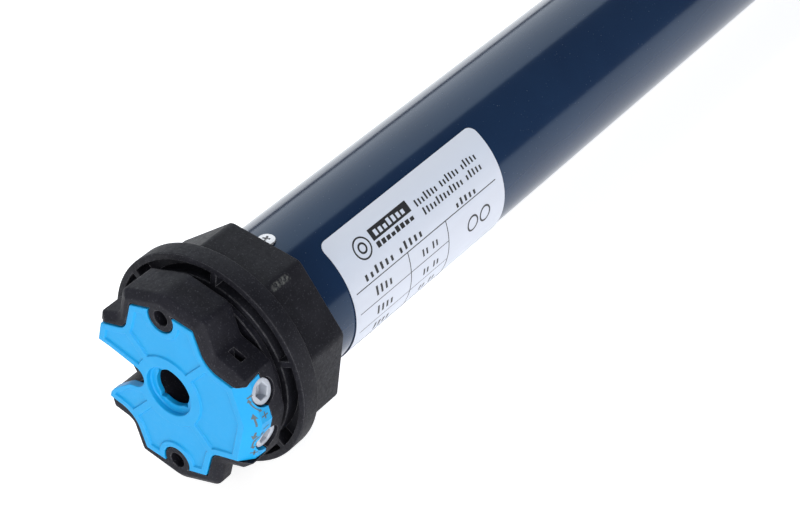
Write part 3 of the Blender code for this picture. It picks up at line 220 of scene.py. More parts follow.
WHEEL_SCREW_HEAD = 0.0040


# ---------------------------------------------------------------- materials


class Finish:
    """One node material, built up from small procedural steps."""

    def __init__(self, name, roughness=0.5, metallic=0.0):
        self.material = bpy.data.materials.new(name)
        self.material.use_nodes = True
        self.tree = self.material.node_tree
        self.shader = self.tree.nodes["Principled BSDF"]
        self.shader.inputs["Metallic"].default_value = metallic
        self.shader.inputs["Roughness"].default_value = roughness
        self.at = self.tree.nodes.new("ShaderNodeTexCoord").outputs["Object"]

    def put(self, socket, value):
        if isinstance(value, bpy.types.NodeSocket):
            self.tree.links.new(value, socket)
        elif isinstance(value, tuple) and len(value) == 3 and socket.type == "RGBA":
            socket.default_value = (*value, 1.0)
        else:
            socket.default_value = value

    def set(self, **values):
        for name, value in values.items():
            self.put(self.shader.inputs[name.replace("_", " ")], value)

    def node(self, kind, output, inputs, **settings):
        """Adds a node, fills its inputs and hands back one of its outputs."""
        node = self.tree.nodes.new("ShaderNode" + kind)
        for name, value in settings.items():
            setattr(node, name, value)
        for name, value in inputs.items():
            self.put(node.inputs[name], value)
        return node.outputs[output]

    def done(self, colour, roughness, normal, **more):
        self.set(Base_Color=colour, Roughness=roughness, Normal=normal, **more)
        return self.material

    def stretch(self, scale):
        return self.node("Mapping", "Vector", {"Vector": self.at, "Scale": scale})

    def noise(self, size, detail=2.0, roughness=0.5, at=None):
        inputs = {"Scale": 1.0 / size, "Detail": detail, "Roughness": roughness}
        return self.node("TexNoise", "Fac", {"Vector": at or self.at, **inputs})

    def cells(self, size):
        return self.node("TexVoronoi", "Distance", {"Vector": self.at, "Scale": 1.0 / size})

    def wave(self, scale, distortion, detail, **settings):
        inputs = {"Scale": scale, "Distortion": distortion, "Detail": detail}
        return self.node("TexWave", "Fac", {"Vector": self.at, **inputs}, **settings)

    def ramp(self, value, low, high, out_low=0.0, out_high=1.0):
        reach = {"From Min": low, "From Max": high, "To Min": out_low, "To Max": out_high}
        return self.node("MapRange", "Result", {"Value": value, **reach})

    def calc(self, operation, first, second=0.0):
        return self.node("Math", 0, {0: first, 1: second}, operation=operation)

    def times(self, first, second):
        return self.calc("MULTIPLY", first, second)

    def mix(self, share, first, second):
        return self.node("Mix", 2, {"Factor": share, 6: first, 7: second}, data_type="RGBA")

    def blend(self, mask, share, colour, tint):
        """Lays tint over colour where mask is high, share of the way at most."""
        return self.mix(self.times(mask, share), colour, tint)

    def vary(self, size, detail, low, high):
        """A value that wanders between low and high."""
        return self.ramp(self.noise(size, detail), 0.3, 0.7, low, high)

    def bump(self, height, strength, distance, normal=None):
        inputs = {"Height": height, "Strength": strength, "Distance": distance}
        if normal is not None:
            inputs["Normal"] = normal
        return self.node("Bump", "Normal", inputs)

    def round_normal(self, radius):
        return self.node("Bevel", "Normal", {"Radius": radius}, samples=4)

    def edges(self, rounded_normal):
        """Near one on an outer or inner edge, nothing on a flat."""
        flat = self.node("NewGeometry", "Normal", {})
        inputs = {0: rounded_normal, 1: flat}
        agree = self.node("VectorMath", "Value", inputs, operation="DOT_PRODUCT")
        return self.ramp(agree, 0.995, 0.86)

    def axis(self, name):
        return self.node("SeparateXYZ", name, {0: self.at})

    def near(self, value, middle, half, soft):
        """One inside middle +/- half, fading to nothing over soft."""
        away = self.calc("ABSOLUTE", self.calc("SUBTRACT", value, middle))
        return self.ramp(away, half + soft, half)


def moulded_nylon(name, base, light, scuff=None):
    """Spark-eroded black nylon: fine grain, pale specks, edges painted lighter grey as rubbed wear and
    as painted edge highlight.
    """
    f = Finish(name)
    rounded_normal = f.round_normal(0.00028)
    cloud = f.noise(0.0060, 3.0)
    grain = f.noise(0.00034, 2.0, 0.6)
    speck = f.ramp(f.noise(0.00048, 1.0), 0.60, 0.76)
    colour = f.mix(f.ramp(cloud, 0.35, 0.65), base, light)
    colour = f.blend(speck, 0.32, colour, (0.085, 0.085, 0.100))
    # Painted highlight, partly real rubbed wear: every edge found by the rounded normal is lightened
    # towards grey.
    edge_wear_and_highlight = f.times(f.edges(rounded_normal), f.ramp(f.noise(0.0016), 0.34, 0.56))
    colour = f.blend(edge_wear_and_highlight, 0.70, colour, (0.20, 0.20, 0.215))
    rough = f.vary(0.0011, 3.0, 0.50, 0.66)
    if scuff is not None:
        mask = scuff(f)
        colour = f.mix(mask, colour, (0.13, 0.135, 0.13))
        rough = f.calc("ADD", rough, f.times(mask, 0.2))
    normal = f.bump(grain, 0.42, 0.00007, rounded_normal)
    normal = f.bump(cloud, 0.10, 0.0004, normal)
    return f.done(colour, rough, normal, Specular_IOR_Level=0.15)


def crown_scuff(f):
    """A pale rub along one ridge of the crown, broken up by the grain."""
    along = f.near(f.axis("Y"), FACE_Y + 0.0291, 0.0032, 0.0006)
    angle = f.calc("ARCTAN2", f.axis("Z"), f.axis("X"))
    across = f.near(angle, math.radians(56.0), 0.022, 0.018)
    patch = f.times(along, across)
    torn = f.ramp(f.noise(0.0009, 3.0, 0.7), 0.40, 0.62)
    return f.times(f.times(patch, torn), 0.75)


def moulded_blue():
    f = Finish("blue_moulding")
    rounded_normal = f.round_normal(0.00022)
    cloud = f.noise(0.0130, 2.0)
    fine = f.noise(0.00030, 2.0, 0.6)
    colour = f.mix(cloud, (0.004, 0.262, 0.560), (0.006, 0.290, 0.620))
    fleck = f.ramp(f.noise(0.0007, 1.0), 0.70, 0.80)
    colour = f.blend(fleck, 0.10, colour, (0.15, 0.50, 0.80))
    # Painted highlight: every edge found by the rounded normal is lightened towards bright blue.
    edge = f.times(f.edges(rounded_normal), f.ramp(f.noise(0.0021), 0.35, 0.60))
    colour = f.blend(edge, 0.30, colour, (0.10, 0.52, 0.90))
    rough = f.vary(0.0016, 3.0, 0.36, 0.50)
    normal = f.bump(fine, 0.16, 0.00004, rounded_normal)
    f.set(Subsurface_Weight=0.05, Subsurface_Radius=(0.0002, 0.0006, 0.0012))
    return f.done(colour, rough, normal, Specular_IOR_Level=0.26)


def moulded_white():
    f = Finish("white_moulding")
    rounded_normal = f.round_normal(0.00018)
    cloud = f.noise(0.0025, 3.0)
    colour = f.mix(cloud, (0.36, 0.39, 0.45), (0.46, 0.49, 0.55))
    grime = f.ramp(f.noise(0.0009, 4.0, 0.7), 0.60, 0.78)
    colour = f.blend(grime, 0.25, colour, (0.25, 0.26, 0.28))
    rough = f.vary(0.0008, 2.0, 0.34, 0.52)
    normal = f.bump(f.noise(0.00025, 2.0), 0.15, 0.00004, rounded_normal)
    return f.done(colour, rough, normal)


def gloss_paint():
    """Navy powder paint with a light orange peel, dust and fine rubs."""
    f = Finish("navy_paint_gloss")
    peel = f.noise(0.0021, 2.0)
    cloud = f.noise(0.030, 3.0)
    colour = f.mix(f.ramp(cloud, 0.3, 0.7), (0.0058, 0.0180, 0.0530), (0.0078, 0.0235, 0.0640))
    dust = f.ramp(f.noise(0.00055, 1.0), 0.735, 0.80)
    colour = f.blend(dust, 0.30, colour, (0.12, 0.14, 0.18))
    rub = f.noise(0.0006, 2.0, 0.5, f.stretch((1.0, 0.2, 1.0)))
    rough = f.ramp(rub, 0.3, 0.75, 0.135, 0.155)
    rough = f.calc("ADD", rough, f.times(dust, 0.25))
    normal = f.bump(peel, 0.06, 0.00012)
    normal = f.bump(f.noise(0.0003, 1.0), 0.03, 0.00003, normal)
    tint = (0.58, 0.80, 1.0)
    return f.done(colour, rough, normal, Specular_IOR_Level=0.42, Specular_Tint=tint)


def label_film():
    """Silvered film: soft, slightly brushed, blue in the middle of its wrap, with painted shade
    darkening its lower part.
    """
    f = Finish("label_film")
    angle = f.calc("ARCTAN2", f.axis("Z"), f.axis("X"))
    blue = f.times(f.near(angle, math.radians(30.0), 0.25, 0.70), 0.75)
    cloud = f.noise(0.020, 2.0)
    colour = f.mix(cloud, (0.76, 0.79, 0.86), (0.80, 0.83, 0.90))
    colour = f.mix(blue, colour, (0.60, 0.66, 0.78))
    # Painted shade: the film is darkened towards its underside, fully below about 8 degrees round the
    # tube.
    under = f.ramp(angle, math.radians(42.0), math.radians(8.0))
    colour = f.mix(under, colour, (0.55, 0.58, 0.66))
    brush = f.noise(0.0006, 3.0, 0.6, f.stretch((1.0, 0.05, 1.0)))
    rough = f.ramp(brush, 0.3, 0.7, 0.34, 0.46)
    normal = f.bump(brush, 0.05, 0.00004)
    return f.done(colour, rough, normal, Metallic=0.10, Specular_IOR_Level=0.30)


def printed_ink(name, base, light):
    f = Finish(name)
    colour = f.mix(f.noise(0.0011, 3.0), base, light)
    worn = f.ramp(f.noise(0.00045, 2.0), 0.66, 0.78)
    colour = f.blend(worn, 0.35, colour, tuple(3.5 * c for c in light))
    rough = f.vary(0.0007, 2.0, 0.42, 0.58)
    normal = f.bump(f.noise(0.0002), 0.08, 0.00002)
    return f.done(colour, rough, normal)


def metal(name, dark, light, rough_low, rough_high, lay, tarnish=0.15, metallic=1.0):
    """Turned or cast metal: lay stretches the marks left by the tool."""
    f = Finish(name, metallic=metallic)
    rounded_normal = f.round_normal(0.00015)
    marks = f.noise(0.0005, 3.0, 0.6, f.stretch(lay))
    cloud = f.noise(0.0040, 3.0)
    colour = f.mix(cloud, dark, light)
    spots = f.ramp(f.noise(0.0012, 4.0, 0.7), 0.60, 0.75)
    colour = f.blend(spots, tarnish, colour, tuple(0.35 * c for c in dark))
    rough = f.ramp(marks, 0.3, 0.7, rough_low, rough_high)
    normal = f.bump(marks, 0.14, 0.00006, rounded_normal)
    return f.done(colour, rough, normal)


def lamination():
    """Stacked sheet: fine lines across the axis and a darker oxide."""
    f = Finish("lamination", metallic=0.9)
    lines = f.wave(620.0, 0.4, 2.0, bands_direction="Y")
    colour = f.mix(lines, (0.13, 0.13, 0.14), (0.30, 0.30, 0.32))
    rust = f.ramp(f.noise(0.0030, 4.0, 0.7), 0.62, 0.78)
    colour = f.blend(rust, 0.3, colour, (0.16, 0.08, 0.04))
    rough = f.vary(0.0009, 3.0, 0.38, 0.56)
    return f.done(colour, rough, f.bump(lines, 0.25, 0.00008))


def winding():
    """Enamelled wire laid round the axis, with darker varnish in its hollows."""
    f = Finish("winding", metallic=0.75)
    wires = f.wave(700.0, 1.6, 2.0, wave_type="RINGS", rings_direction="Y")
    colour = f.mix(wires, (0.20, 0.06, 0.02), (0.66, 0.27, 0.11))
    rough = f.vary(0.0010, 2.0, 0.24, 0.42)
    normal = f.bump(wires, 0.5, 0.0002)
    return f.done(colour, rough, normal, Coat_Weight=0.3, Coat_Roughness=0.2)


def plain_moulding(name, dark, light, rough):
    f = Finish(name)
    rounded_normal = f.round_normal(0.00016)
    colour = f.mix(f.noise(0.0050, 3.0), dark, light)
    stain = f.ramp(f.noise(0.0016, 4.0, 0.7), 0.62, 0.80)
    colour = f.blend(stain, 0.2, colour, tuple(0.5 * c for c in dark))
    roughness = f.vary(0.0008, 2.0, rough - 0.08, rough + 0.08)
    normal = f.bump(f.noise(0.0003, 2.0), 0.20, 0.00005, rounded_normal)
    return f.done(colour, roughness, normal)


def friction():
    f = Finish("friction")
    fibres = f.noise(0.0005, 3.0, 0.7, f.stretch((1.0, 1.0, 0.2)))
    colour = f.mix(fibres, (0.035, 0.028, 0.024), (0.17, 0.13, 0.10))
    chips = f.ramp(f.cells(0.0011), 0.10, 0.25)
    colour = f.mix(chips, (0.36, 0.25, 0.12), colour)
    rough = f.ramp(fibres, 0.2, 0.8, 0.72, 0.94)
    return f.done(colour, rough, f.bump(fibres, 0.4, 0.0001))


NYLON = moulded_nylon("nylon_head", (0.0062, 0.0062, 0.0098), (0.0105, 0.0105, 0.0158))
CROWN_NYLON = moulded_nylon(
    "nylon_crown", (0.0072, 0.0073, 0.0108), (0.0122, 0.0124, 0.0170), crown_scuff
)
BLUE = moulded_blue()
WHITE = moulded_white()
NAVY = gloss_paint()
FILM = label_film()
INK = printed_ink("ink_black", (0.010, 0.010, 0.012), (0.022, 0.022, 0.026))
MARK_INK = printed_ink("ink_grey", (0.055, 0.085, 0.10), (0.075, 0.11, 0.13))
ROUND_LAY = (1.0, 12.0, 1.0)
STEEL = metal("steel_turned", (0.50, 0.50, 0.51), (0.66, 0.66, 0.67), 0.22, 0.42, ROUND_LAY)
ALLOY = metal("alloy_cast", (0.40, 0.40, 0.42), (0.56, 0.56, 0.58), 0.44, 0.62, (1, 1, 1), 0.25, 0.9)
BRASS = metal("brass_turned", (0.56, 0.38, 0.13), (0.74, 0.54, 0.23), 0.26, 0.44, ROUND_LAY)

FINISHES = {
    "black_nylon": NYLON,
    "blue_plastic": BLUE,
    "white_plastic": WHITE,
    "navy_paint": NAVY,
    "silver_foil": FILM,
    "bright_steel": STEEL,
    "lamination_iron": lamination(),
    "cast_alloy": ALLOY,
    "copper_winding": winding(),
    "brass": BRASS,
    "cream_moulding": plain_moulding("cream", (0.58, 0.55, 0.45), (0.72, 0.70, 0.60), 0.46),
    "red_moulding": plain_moulding("red", (0.42, 0.03, 0.018), (0.60, 0.055, 0.03), 0.42),
    "friction_lining": friction(),
}


# ---------------------------------------------------------------- outlines


def polar(radius, angle, centre=(0.0, 0.0)):
    return (centre[0] + radius * math.cos(angle), centre[1] + radius * math.sin(angle))


def arc(radius, start, stop, steps, centre=(0.0, 0.0)):
    """Points round a centre from one angle to another, both ends included."""
    sweep = stop - start
    return [polar(radius, start + sweep * k / steps, centre) for k in range(steps + 1)]


def circle(radius, segments, centre=(0.0, 0.0), phase=0.0):
    return [polar(radius, phase + TAU * k / segments, centre) for k in range(segments)]


def box(x0, x1, z0, z1):
    return [(x0, z0), (x1, z0), (x1, z1), (x0, z1)]


def rounded_polygon(sides, flats, corner, turn_deg, steps=8):
    """A regular polygon with rounded corners and one face normal at turn_deg."""
    reach = (flats / 2.0 - corner) / math.cos(math.pi / sides)
    points = []
    for k in range(sides):
        middle = math.radians(turn_deg) + math.pi / sides + TAU * k / sides
        half = math.pi / sides
        points += arc(corner, middle - half, middle + half, steps, polar(reach, middle))
    return points


def inset_outline(outline, distance):
    """Moves every edge of an anticlockwise outline inward by distance."""
    count = len(outline)
    moved = []
    for i in range(count):
        before = Vector(outline[i - 1])
        here = Vector(outline[i])
        after = Vector(outline[(i + 1) % count])
        first = (here - before).normalized()
        second = (after - here).normalized()
        normal_first = Vector((-first.y, first.x))
        normal_second = Vector((-second.y, second.x))
        bisector = (normal_first + normal_second).normalized()
        reach = distance / max(bisector.dot(normal_first), 0.3)
        moved.append(tuple(here + bisector * reach))
    return moved


def rounded(corners, inset=0.0, steps=8):
    """An outline through (x, z, fillet) corners, pulled in by inset."""
    base = inset_outline([(x, z) for x, z, radius in corners], inset)
    count = len(base)
    points = []
    for i in range(count):
        here = Vector(base[i])
        nominal = corners[i][2]
        if nominal <= 0.0:
            points.append(tuple(here))
            continue
        back = (Vector(base[i - 1]) - here).normalized()
        ahead = (Vector(base[(i + 1) % count]) - here).normalized()
        convex = back.y * ahead.x - back.x * ahead.y > 0.0
        radius = nominal - inset if convex else nominal + inset
        radius = max(radius, 0.0002)
        half = back.angle(ahead) / 2.0
        centre = here + (back + ahead).normalized() * radius / math.sin(half)
        first = here + back * radius / math.tan(half) - centre
        last = here + ahead * radius / math.tan(half) - centre
        start = math.atan2(first.y, first.x)
        sweep = math.atan2(last.y, last.x) - start
        sweep = (sweep + math.pi) % TAU - math.pi
        points += arc(radius, start, start + sweep, steps, centre)
    return points


def gear_outline(teeth, pitch_radius, addendum, dedendum, tip, root, phase):
    pitch = TAU / teeth
    points = []
    for k in range(teeth):
        middle = phase + k * pitch
        for radius, share in (
            (pitch_radius - dedendum, -root / 2.0), (pitch_radius + addendum, -tip / 2.0),
            (pitch_radius + addendum, tip / 2.0), (pitch_radius - dedendum, root / 2.0),
        ):
            points.append(polar(radius, middle + share * pitch))
    return points


def placed(corner, side, up):
    return (side * corner[0], up * corner[1], corner[2])


def head_corners():
    right = [ARM_SHOULDER, ARM_FLANK, ARM_VALLEY, ARM_TIP]
    low = [ARM_TIP_LOW, ARM_VALLEY, ARM_FLANK_LOW, ARM_SHOULDER_LOW]
    left = [ARM_TIP, ARM_VALLEY, ARM_FLANK_LEFT]
    corners = [(CREST_SIDE, 0.0, CREST_ROUND)]
    corners += [placed(corner, 1.0, 1.0) for corner in right]
    corners.append((0.0, CREST_TOP, CREST_ROUND))
    corners += [placed(corner, -1.0, 1.0) for corner in left]
    corners.append((-CREST_LEFT, 0.0, 0.0))
    corners += [placed(corner, -1.0, -1.0) for corner in left[::-1]]
    corners.append((0.0, -CREST_TOP, CREST_ROUND))
    corners += [placed(corner, 1.0, -1.0) for corner in low]
    return corners


def plate_corners(reach_left=0.0):
    near = [PLATE_SHOULDER, PLATE_VALLEY, PLATE_TIP]
    wide = [PLATE_WIDE_TIP, PLATE_WIDE_VALLEY, PLATE_WIDE_SHOULDER]
    corners = [(PLATE_CREST_SIDE, 0.0, 0.0)]
    corners += [placed(corner, 1.0, 1.0) for corner in near]
    corners.append((0.0, PLATE_CREST_TOP, 0.0))
    upper = [placed(corner, -1.0, 1.0) for corner in wide]
    lower = [placed(corner, -1.0, -1.0) for corner in near]
    if reach_left > 0.0:
        upper[-1] = carried_on(upper[-2], upper[-1], reach_left)
        lower[0] = carried_on(lower[1], lower[0], reach_left)
        corners += upper
    else:
        corners += upper
        corners.append((-PLATE_CREST_SIDE, 0.0, 0.0))
    corners += lower
    corners.append((0.0, -PLATE_CREST_TOP, 0.0))
    corners += [placed(corner, 1.0, -1.0) for corner in wide]
    return corners


def carried_on(start, end, reach):
    along = Vector((end[0] - start[0], end[1] - start[1])).normalized() * reach
    return (end[0] + along.x, end[1] + along.y, 0.0)


def notch_outline(inner, grow, steps=20):
    """The cable notch: a round inner end that flares out to the left."""
    radius = 0.0036 + grow
    centre = (-(inner + radius - grow), 0.0)
    half_turn = math.radians(75.0)
    return arc(radius, -half_turn, half_turn, steps, centre) + [
        (-0.0196, 0.0064 + grow), (-0.0400, 0.0118 + grow), (-0.0400, -0.0250 - grow),
        (-0.0232 + grow, -0.0180 - grow), (-0.0222 + grow, -0.0118 - grow),
        (-0.0216 + grow, -0.0098 - grow), (-0.0203, -0.0082 - grow), (-0.0180, -0.0064 - grow),
        (-0.0159, -0.0050 - grow), (-0.0140, -0.0038 - grow),
    ]


# ---------------------------------------------------------------- meshes


def mesh_from(name, bm):
    bmesh.ops.recalc_face_normals(bm, faces=bm.faces)
    mesh = bpy.data.meshes.new(name)
    bm.to_mesh(mesh)
    bm.free()
    return mesh


def add_object(name, mesh):
    obj = bpy.data.objects.new(name, mesh)
    bpy.context.scene.collection.objects.link(obj)
    return obj


def at_y(outline, y):
    return [(x, y, z) for x, z in outline]


def bridge(bm, near, far):
    """Joins two rings of vertices with a band of faces."""
    for i in range(len(near)):
        bm.faces.new((near[i - 1], near[i], far[i], far[i - 1]))


def loft(name, sections):
    """A closed mesh through sections, each a list of (x, y, z) points."""
    bm = bmesh.new()
    rings = [[bm.verts.new(point) for point in section] for section in sections]
    for near, far in zip(rings, rings[1:]):
        bridge(bm, near, far)
    bm.faces.new(rings[0])
    bm.faces.new(rings[-1])
    return mesh_from(name, bm)


def prism(name, outline, y_front, y_rear):
    return loft(name, [at_y(outline, y_front), at_y(outline, y_rear)])


def turned(name, profile, segments, phase=0.0):
    """Revolves a closed profile of (radius, y) points about the Y axis."""
    bm = bmesh.new()
    rings = []
    for k in range(segments):
        angle = phase + TAU * k / segments
        c, s = polar(1.0, angle)
        rings.append([bm.verts.new((r * c, y, r * s)) for r, y in profile])
    for near, far in zip(rings, rings[1:] + rings[:1]):
        bridge(bm, near, far)
    return mesh_from(name, bm)


def rod(name, steps, segments, phase=0.0):
    return loft(name, [at_y(circle(r, segments, phase=phase), y) for r, y in steps])


def radial_mesh(name, steps, segments):
    """A solid turned shape whose axis is local X: steps are (radius, x)."""
    return loft(name, [[(x, u, v) for u, v in circle(r, segments)] for r, x in steps])


def soften(profile, radius, steps=3):
    """A (distance, y) profile with its inner corners rounded."""
    points = [profile[0]]
    for i in range(1, len(profile) - 1):
        here = Vector(profile[i])
        back = Vector(profile[i - 1]) - here
        ahead = Vector(profile[i + 1]) - here
        reach = min(radius, back.length * 0.45, ahead.length * 0.45)
        start = here + back.normalized() * reach
        stop = here + ahead.normalized() * reach
        for step in range(steps + 1):
            t = step / steps
            point = start * (1 - t) ** 2 + here * 2 * t * (1 - t) + stop * t * t
            points.append(tuple(point))
    points.append(profile[-1])
    return points


def softened(name, edge, radius, outline_at, steps=3):
    """Lofts outline_at(inset) along an (inset, y) edge with soft corners."""
    return loft(name, [at_y(outline_at(inset), y) for inset, y in soften(edge, radius, steps)])


def combine(target, tool_mesh, operation, location=(0.0, 0.0, 0.0), turn=(0.0, 0.0, 0.0)):
    tool = add_object(target.name + "_tool", tool_mesh)
    tool.location = location
    tool.rotation_euler = turn
    modifier = target.modifiers.new("shape", "BOOLEAN")
    modifier.object = tool
    modifier.operation = operation
    modifier.solver = "EXACT"
    bpy.context.view_layer.update()
    graph = bpy.context.evaluated_depsgraph_get()
    shaped = bpy.data.meshes.new_from_object(target.evaluated_get(graph))
    target.modifiers.remove(modifier)
    old = target.data
    target.data = shaped
    bpy.data.meshes.remove(old)
    bpy.data.objects.remove(tool, do_unlink=True)
    bpy.data.meshes.remove(tool_mesh)


def cut(target, tool_mesh, location=(0.0, 0.0, 0.0), turn=(0.0, 0.0, 0.0)):
    combine(target, tool_mesh, "DIFFERENCE", location, turn)


def join(target, tool_mesh, location=(0.0, 0.0, 0.0), turn=(0.0, 0.0, 0.0)):
    combine(target, tool_mesh, "UNION", location, turn)


def cut_screw_hole(target, radius, y, sign, length):
    """A hole across the axis, from SCREW_HOLE_START outward."""
    hole = rod("screw", [(radius, 0.0), (radius, length)], 24)
    cut(target, hole, (0.0, y, sign * SCREW_HOLE_START), (sign * math.pi / 2.0, 0.0, 0.0))


def take_mesh(obj):
    mesh = obj.data.copy()
    bpy.data.objects.remove(obj, do_unlink=True)
    return mesh


def settle(obj, material, body, nodes=(), angle=28.0):
    """Carries a piece to its place in the shared frame and ties it to its body."""
    mesh = obj.data
    mesh.transform(Matrix.Translation((0.0, FACE_Y, 0.0)) @ obj.matrix_basis)
    obj.matrix_basis = Matrix.Identity(4)
    mesh.materials.clear()
    mesh.materials.append(material)
    mesh.shade_smooth()
    mesh.set_sharp_from_angle(angle=math.radians(angle))
    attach(obj, body)
    if nodes:
        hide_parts(*nodes)
    return obj


# ---------------------------------------------------------------- head


def side_shell_sections(shrink, reach_out, z_grow, y_front, y_rear):
    """Sections of the plate's wrap: y, crest, upper and lower reach, solid or hollow."""
    stations = (
        (y_front, PLATE_CREST_SIDE + min(y_front, 0.0), 0.0114, 0.0133, True),
        (0.0, PLATE_CREST_SIDE, 0.0114, 0.0133, True),
        (0.0020, PLATE_CREST_SIDE + 0.0020, 0.0118, 0.0133, True),
        (0.0021, PLATE_CREST_SIDE + 0.0021, 0.0118, 0.0133, False),
        (SHELL_BEND, PLATE_CREST_SIDE + SHELL_BEND, 0.0122, 0.0131, False),
        (y_rear, CREST_SIDE + 0.0001, 0.0129, 0.0129, False),
    )
    sections = []
    for y, crest, upper, lower, solid in stations:
        upper += z_grow
        lower += z_grow
        wall = crest - SHELL_ROOT if solid else SHELL_THICKNESS
        upper_edge = crest - upper * ROOF_SLOPE_SIDE
        lower_edge = crest - lower * ROOF_SLOPE_SIDE
        pull = wall + shrink
        outline = [
            (lower_edge - pull, -lower), (lower_edge + reach_out, -lower), (crest + reach_out, 0.0),
            (upper_edge + reach_out, upper), (upper_edge - pull, upper), (crest - pull, 0.0),
        ]
        sections.append(at_y(outline, y))
    return sections


def adjuster_place(sign):
    """Where an adjuster's axis starts and how it is turned about the tube's axis."""
    return (0.0, ADJUSTER_Y, 0.0), (0.0, -sign * ADJUSTER_ANGLE, 0.0)


def flared(outline_at, front, y_face, depth, flare):
    """A cutting tool whose mouth opens by flare where it meets y_face."""
    levels = ((flare + y_face - front, front), (0.0, y_face + flare), (0.0, depth))
    return loft("tool", [at_y(outline_at(grow), y) for grow, y in levels])


def build_head():
    corners = head_corners()
    edge = [
        (CHAMFER_WIDTH + 0.0008, FACE_STEP), (CHAMFER_WIDTH, FACE_STEP),
        (0.0, FACE_STEP + CHAMFER_DEPTH), (0.0, ARM_REAR), (0.0008, ARM_REAR),
    ]
    shape = softened("head", edge, 0.00045, lambda inset: rounded(corners, inset))
    body = add_object("head_shell", shape)
    stem = [
        (NECK_RADIUS, ARM_REAR - 0.0020), (NECK_RADIUS, BASE_FRONT),
        (BASE_RADIUS - 0.0002, BASE_FRONT), (BASE_RADIUS, BASE_FRONT + 0.0002),
        (BASE_RADIUS, BASE_REAR), (JOURNAL_RADIUS, BASE_REAR), (JOURNAL_RADIUS, JOURNAL_REAR),
        (SPIGOT_RADIUS, JOURNAL_REAR), (SPIGOT_RADIUS, SPIGOT_REAR - 0.0004),
        (SPIGOT_RADIUS - 0.0004, SPIGOT_REAR),
    ]
    hollow = box(-OUTSIDE, OUTSIDE, -OUTSIDE, LOWER_ARM_TOP)
    under = add_object("under", prism("under", hollow, LOWER_ARM_REAR, ARM_REAR + OVERCUT))
    boss = circle(LOWER_BOSS_RADIUS, 48, SCREW_CENTRES[1], 0.03)
    cut(under, prism("boss", boss, 0.0, CAVITY_FRONT))
    cut(body, take_mesh(under))
    join(body, rod("stem", stem, 128, 0.011))

    corner_set = plate_corners(0.0120)
    seat = flared(
        lambda grow: rounded(corner_set, -GAP - grow),
        -0.0004, FACE_STEP, PLATE_THICKNESS + GAP, 0.00020,
    )
    recess = add_object("recess", seat)
    for centre in SCREW_CENTRES:
        island = (
            (0.0009, FACE_STEP - 0.0007), (0.0002, FACE_STEP), (0.0, FACE_STEP + 0.0002), (0.0, THROUGH),
        )
        rings = [at_y(circle(BOSS_RADIUS - less, 56, centre, 0.02), y) for less, y in island]
        cut(recess, loft("island", rings))
    cut(body, take_mesh(recess))

    shell = side_shell_sections(GAP, THROUGH, GAP, -OVERCUT, SHELL_REAR + GAP)
    cut(body, loft("side", shell))
    cut(body, prism("cable", notch_outline(NOTCH_INNER_BODY, GAP), -OVERCUT, NOTCH_REAR))
    gland = circle(GLAND_RADIUS, 40, (GLAND_X, 0.0), 0.13)
    cut(body, prism("gland", gland, NOTCH_REAR - OVERCUT, CAVITY_FRONT + OVERCUT))
    sleeve = [
        (SLEEVE_RADIUS + GAP, -OVERCUT), (SLEEVE_RADIUS + GAP, SLEEVE_REAR + GAP),
        (SOCKET_RADIUS, SLEEVE_REAR + GAP), (SOCKET_RADIUS, CAVITY_FRONT + OVERCUT),
    ]
    cut(body, rod("sleeve", sleeve, 72, 0.017))
    cavity = [(CAVITY_RADIUS, CAVITY_FRONT), (CAVITY_RADIUS, SPIGOT_REAR + OVERCUT)]
    cut(body, rod("cavity", cavity, 96, 0.007))

    for sign, centre in zip((1.0, -1.0), SCREW_CENTRES):
        hole = flared(
            lambda grow: circle(SCREW_HOLE_RADIUS + grow, 40, centre, 0.05),
            -0.0003, FACE_STEP, SCREW_HOLE_DEPTH, 0.00015,
        )
        cut(body, hole)
        bore = [
            (ADJUSTER_STEM_RADIUS + GAP, ADJUSTER_STEM_END - GAP),
            (ADJUSTER_STEM_RADIUS + GAP, ADJUSTER_FACE - ADJUSTER_HEAD_LENGTH - GAP),
            (ADJUSTER_HEAD_RADIUS + GAP, ADJUSTER_FACE - ADJUSTER_HEAD_LENGTH - GAP),
            (ADJUSTER_HEAD_RADIUS + GAP, OUTSIDE),
        ]
        cut(body, radial_mesh("bore", bore, 48), *adjuster_place(sign))
        low, high = sorted((sign * LATCH_Z[0], sign * LATCH_Z[1]))
        cut(body, prism("latch", box(*LATCH_X, low, high), *LATCH_Y))
        cut_screw_hole(body, SCREW_TAPPED, HEAD_SCREW_Y, sign, 0.0100)
    pocket = circle(PINION_TIP + 0.0006, 64, (0.0, -PINION_DISTANCE), 0.02)
    cut(body, prism("pinion", pocket, PINION_FRONT - 0.0006, PINION_REAR + GAP))
    settle(body, NYLON, "housing", ["head_body"])


def opening_outline(grow, steps=144):
    """The round hole with four square corners through the sleeve's lip."""
    points = []
    for k in range(steps):
        angle = TAU * k / steps
        widest = max(abs(math.cos(angle)), abs(math.sin(angle)))
        reach = max(OPENING_RADIUS + grow, (OPENING_HALF_SQUARE + grow) / widest)
        points.append(polar(reach, angle))
    return points


def tapered(outline_at, y_front, y_rear):
    """A tool with sloping walls, true to size at the plate's face."""
    return loft("tool", [at_y(outline_at(-y * PANEL_SLOPE), y) for y in (y_front, y_rear)])


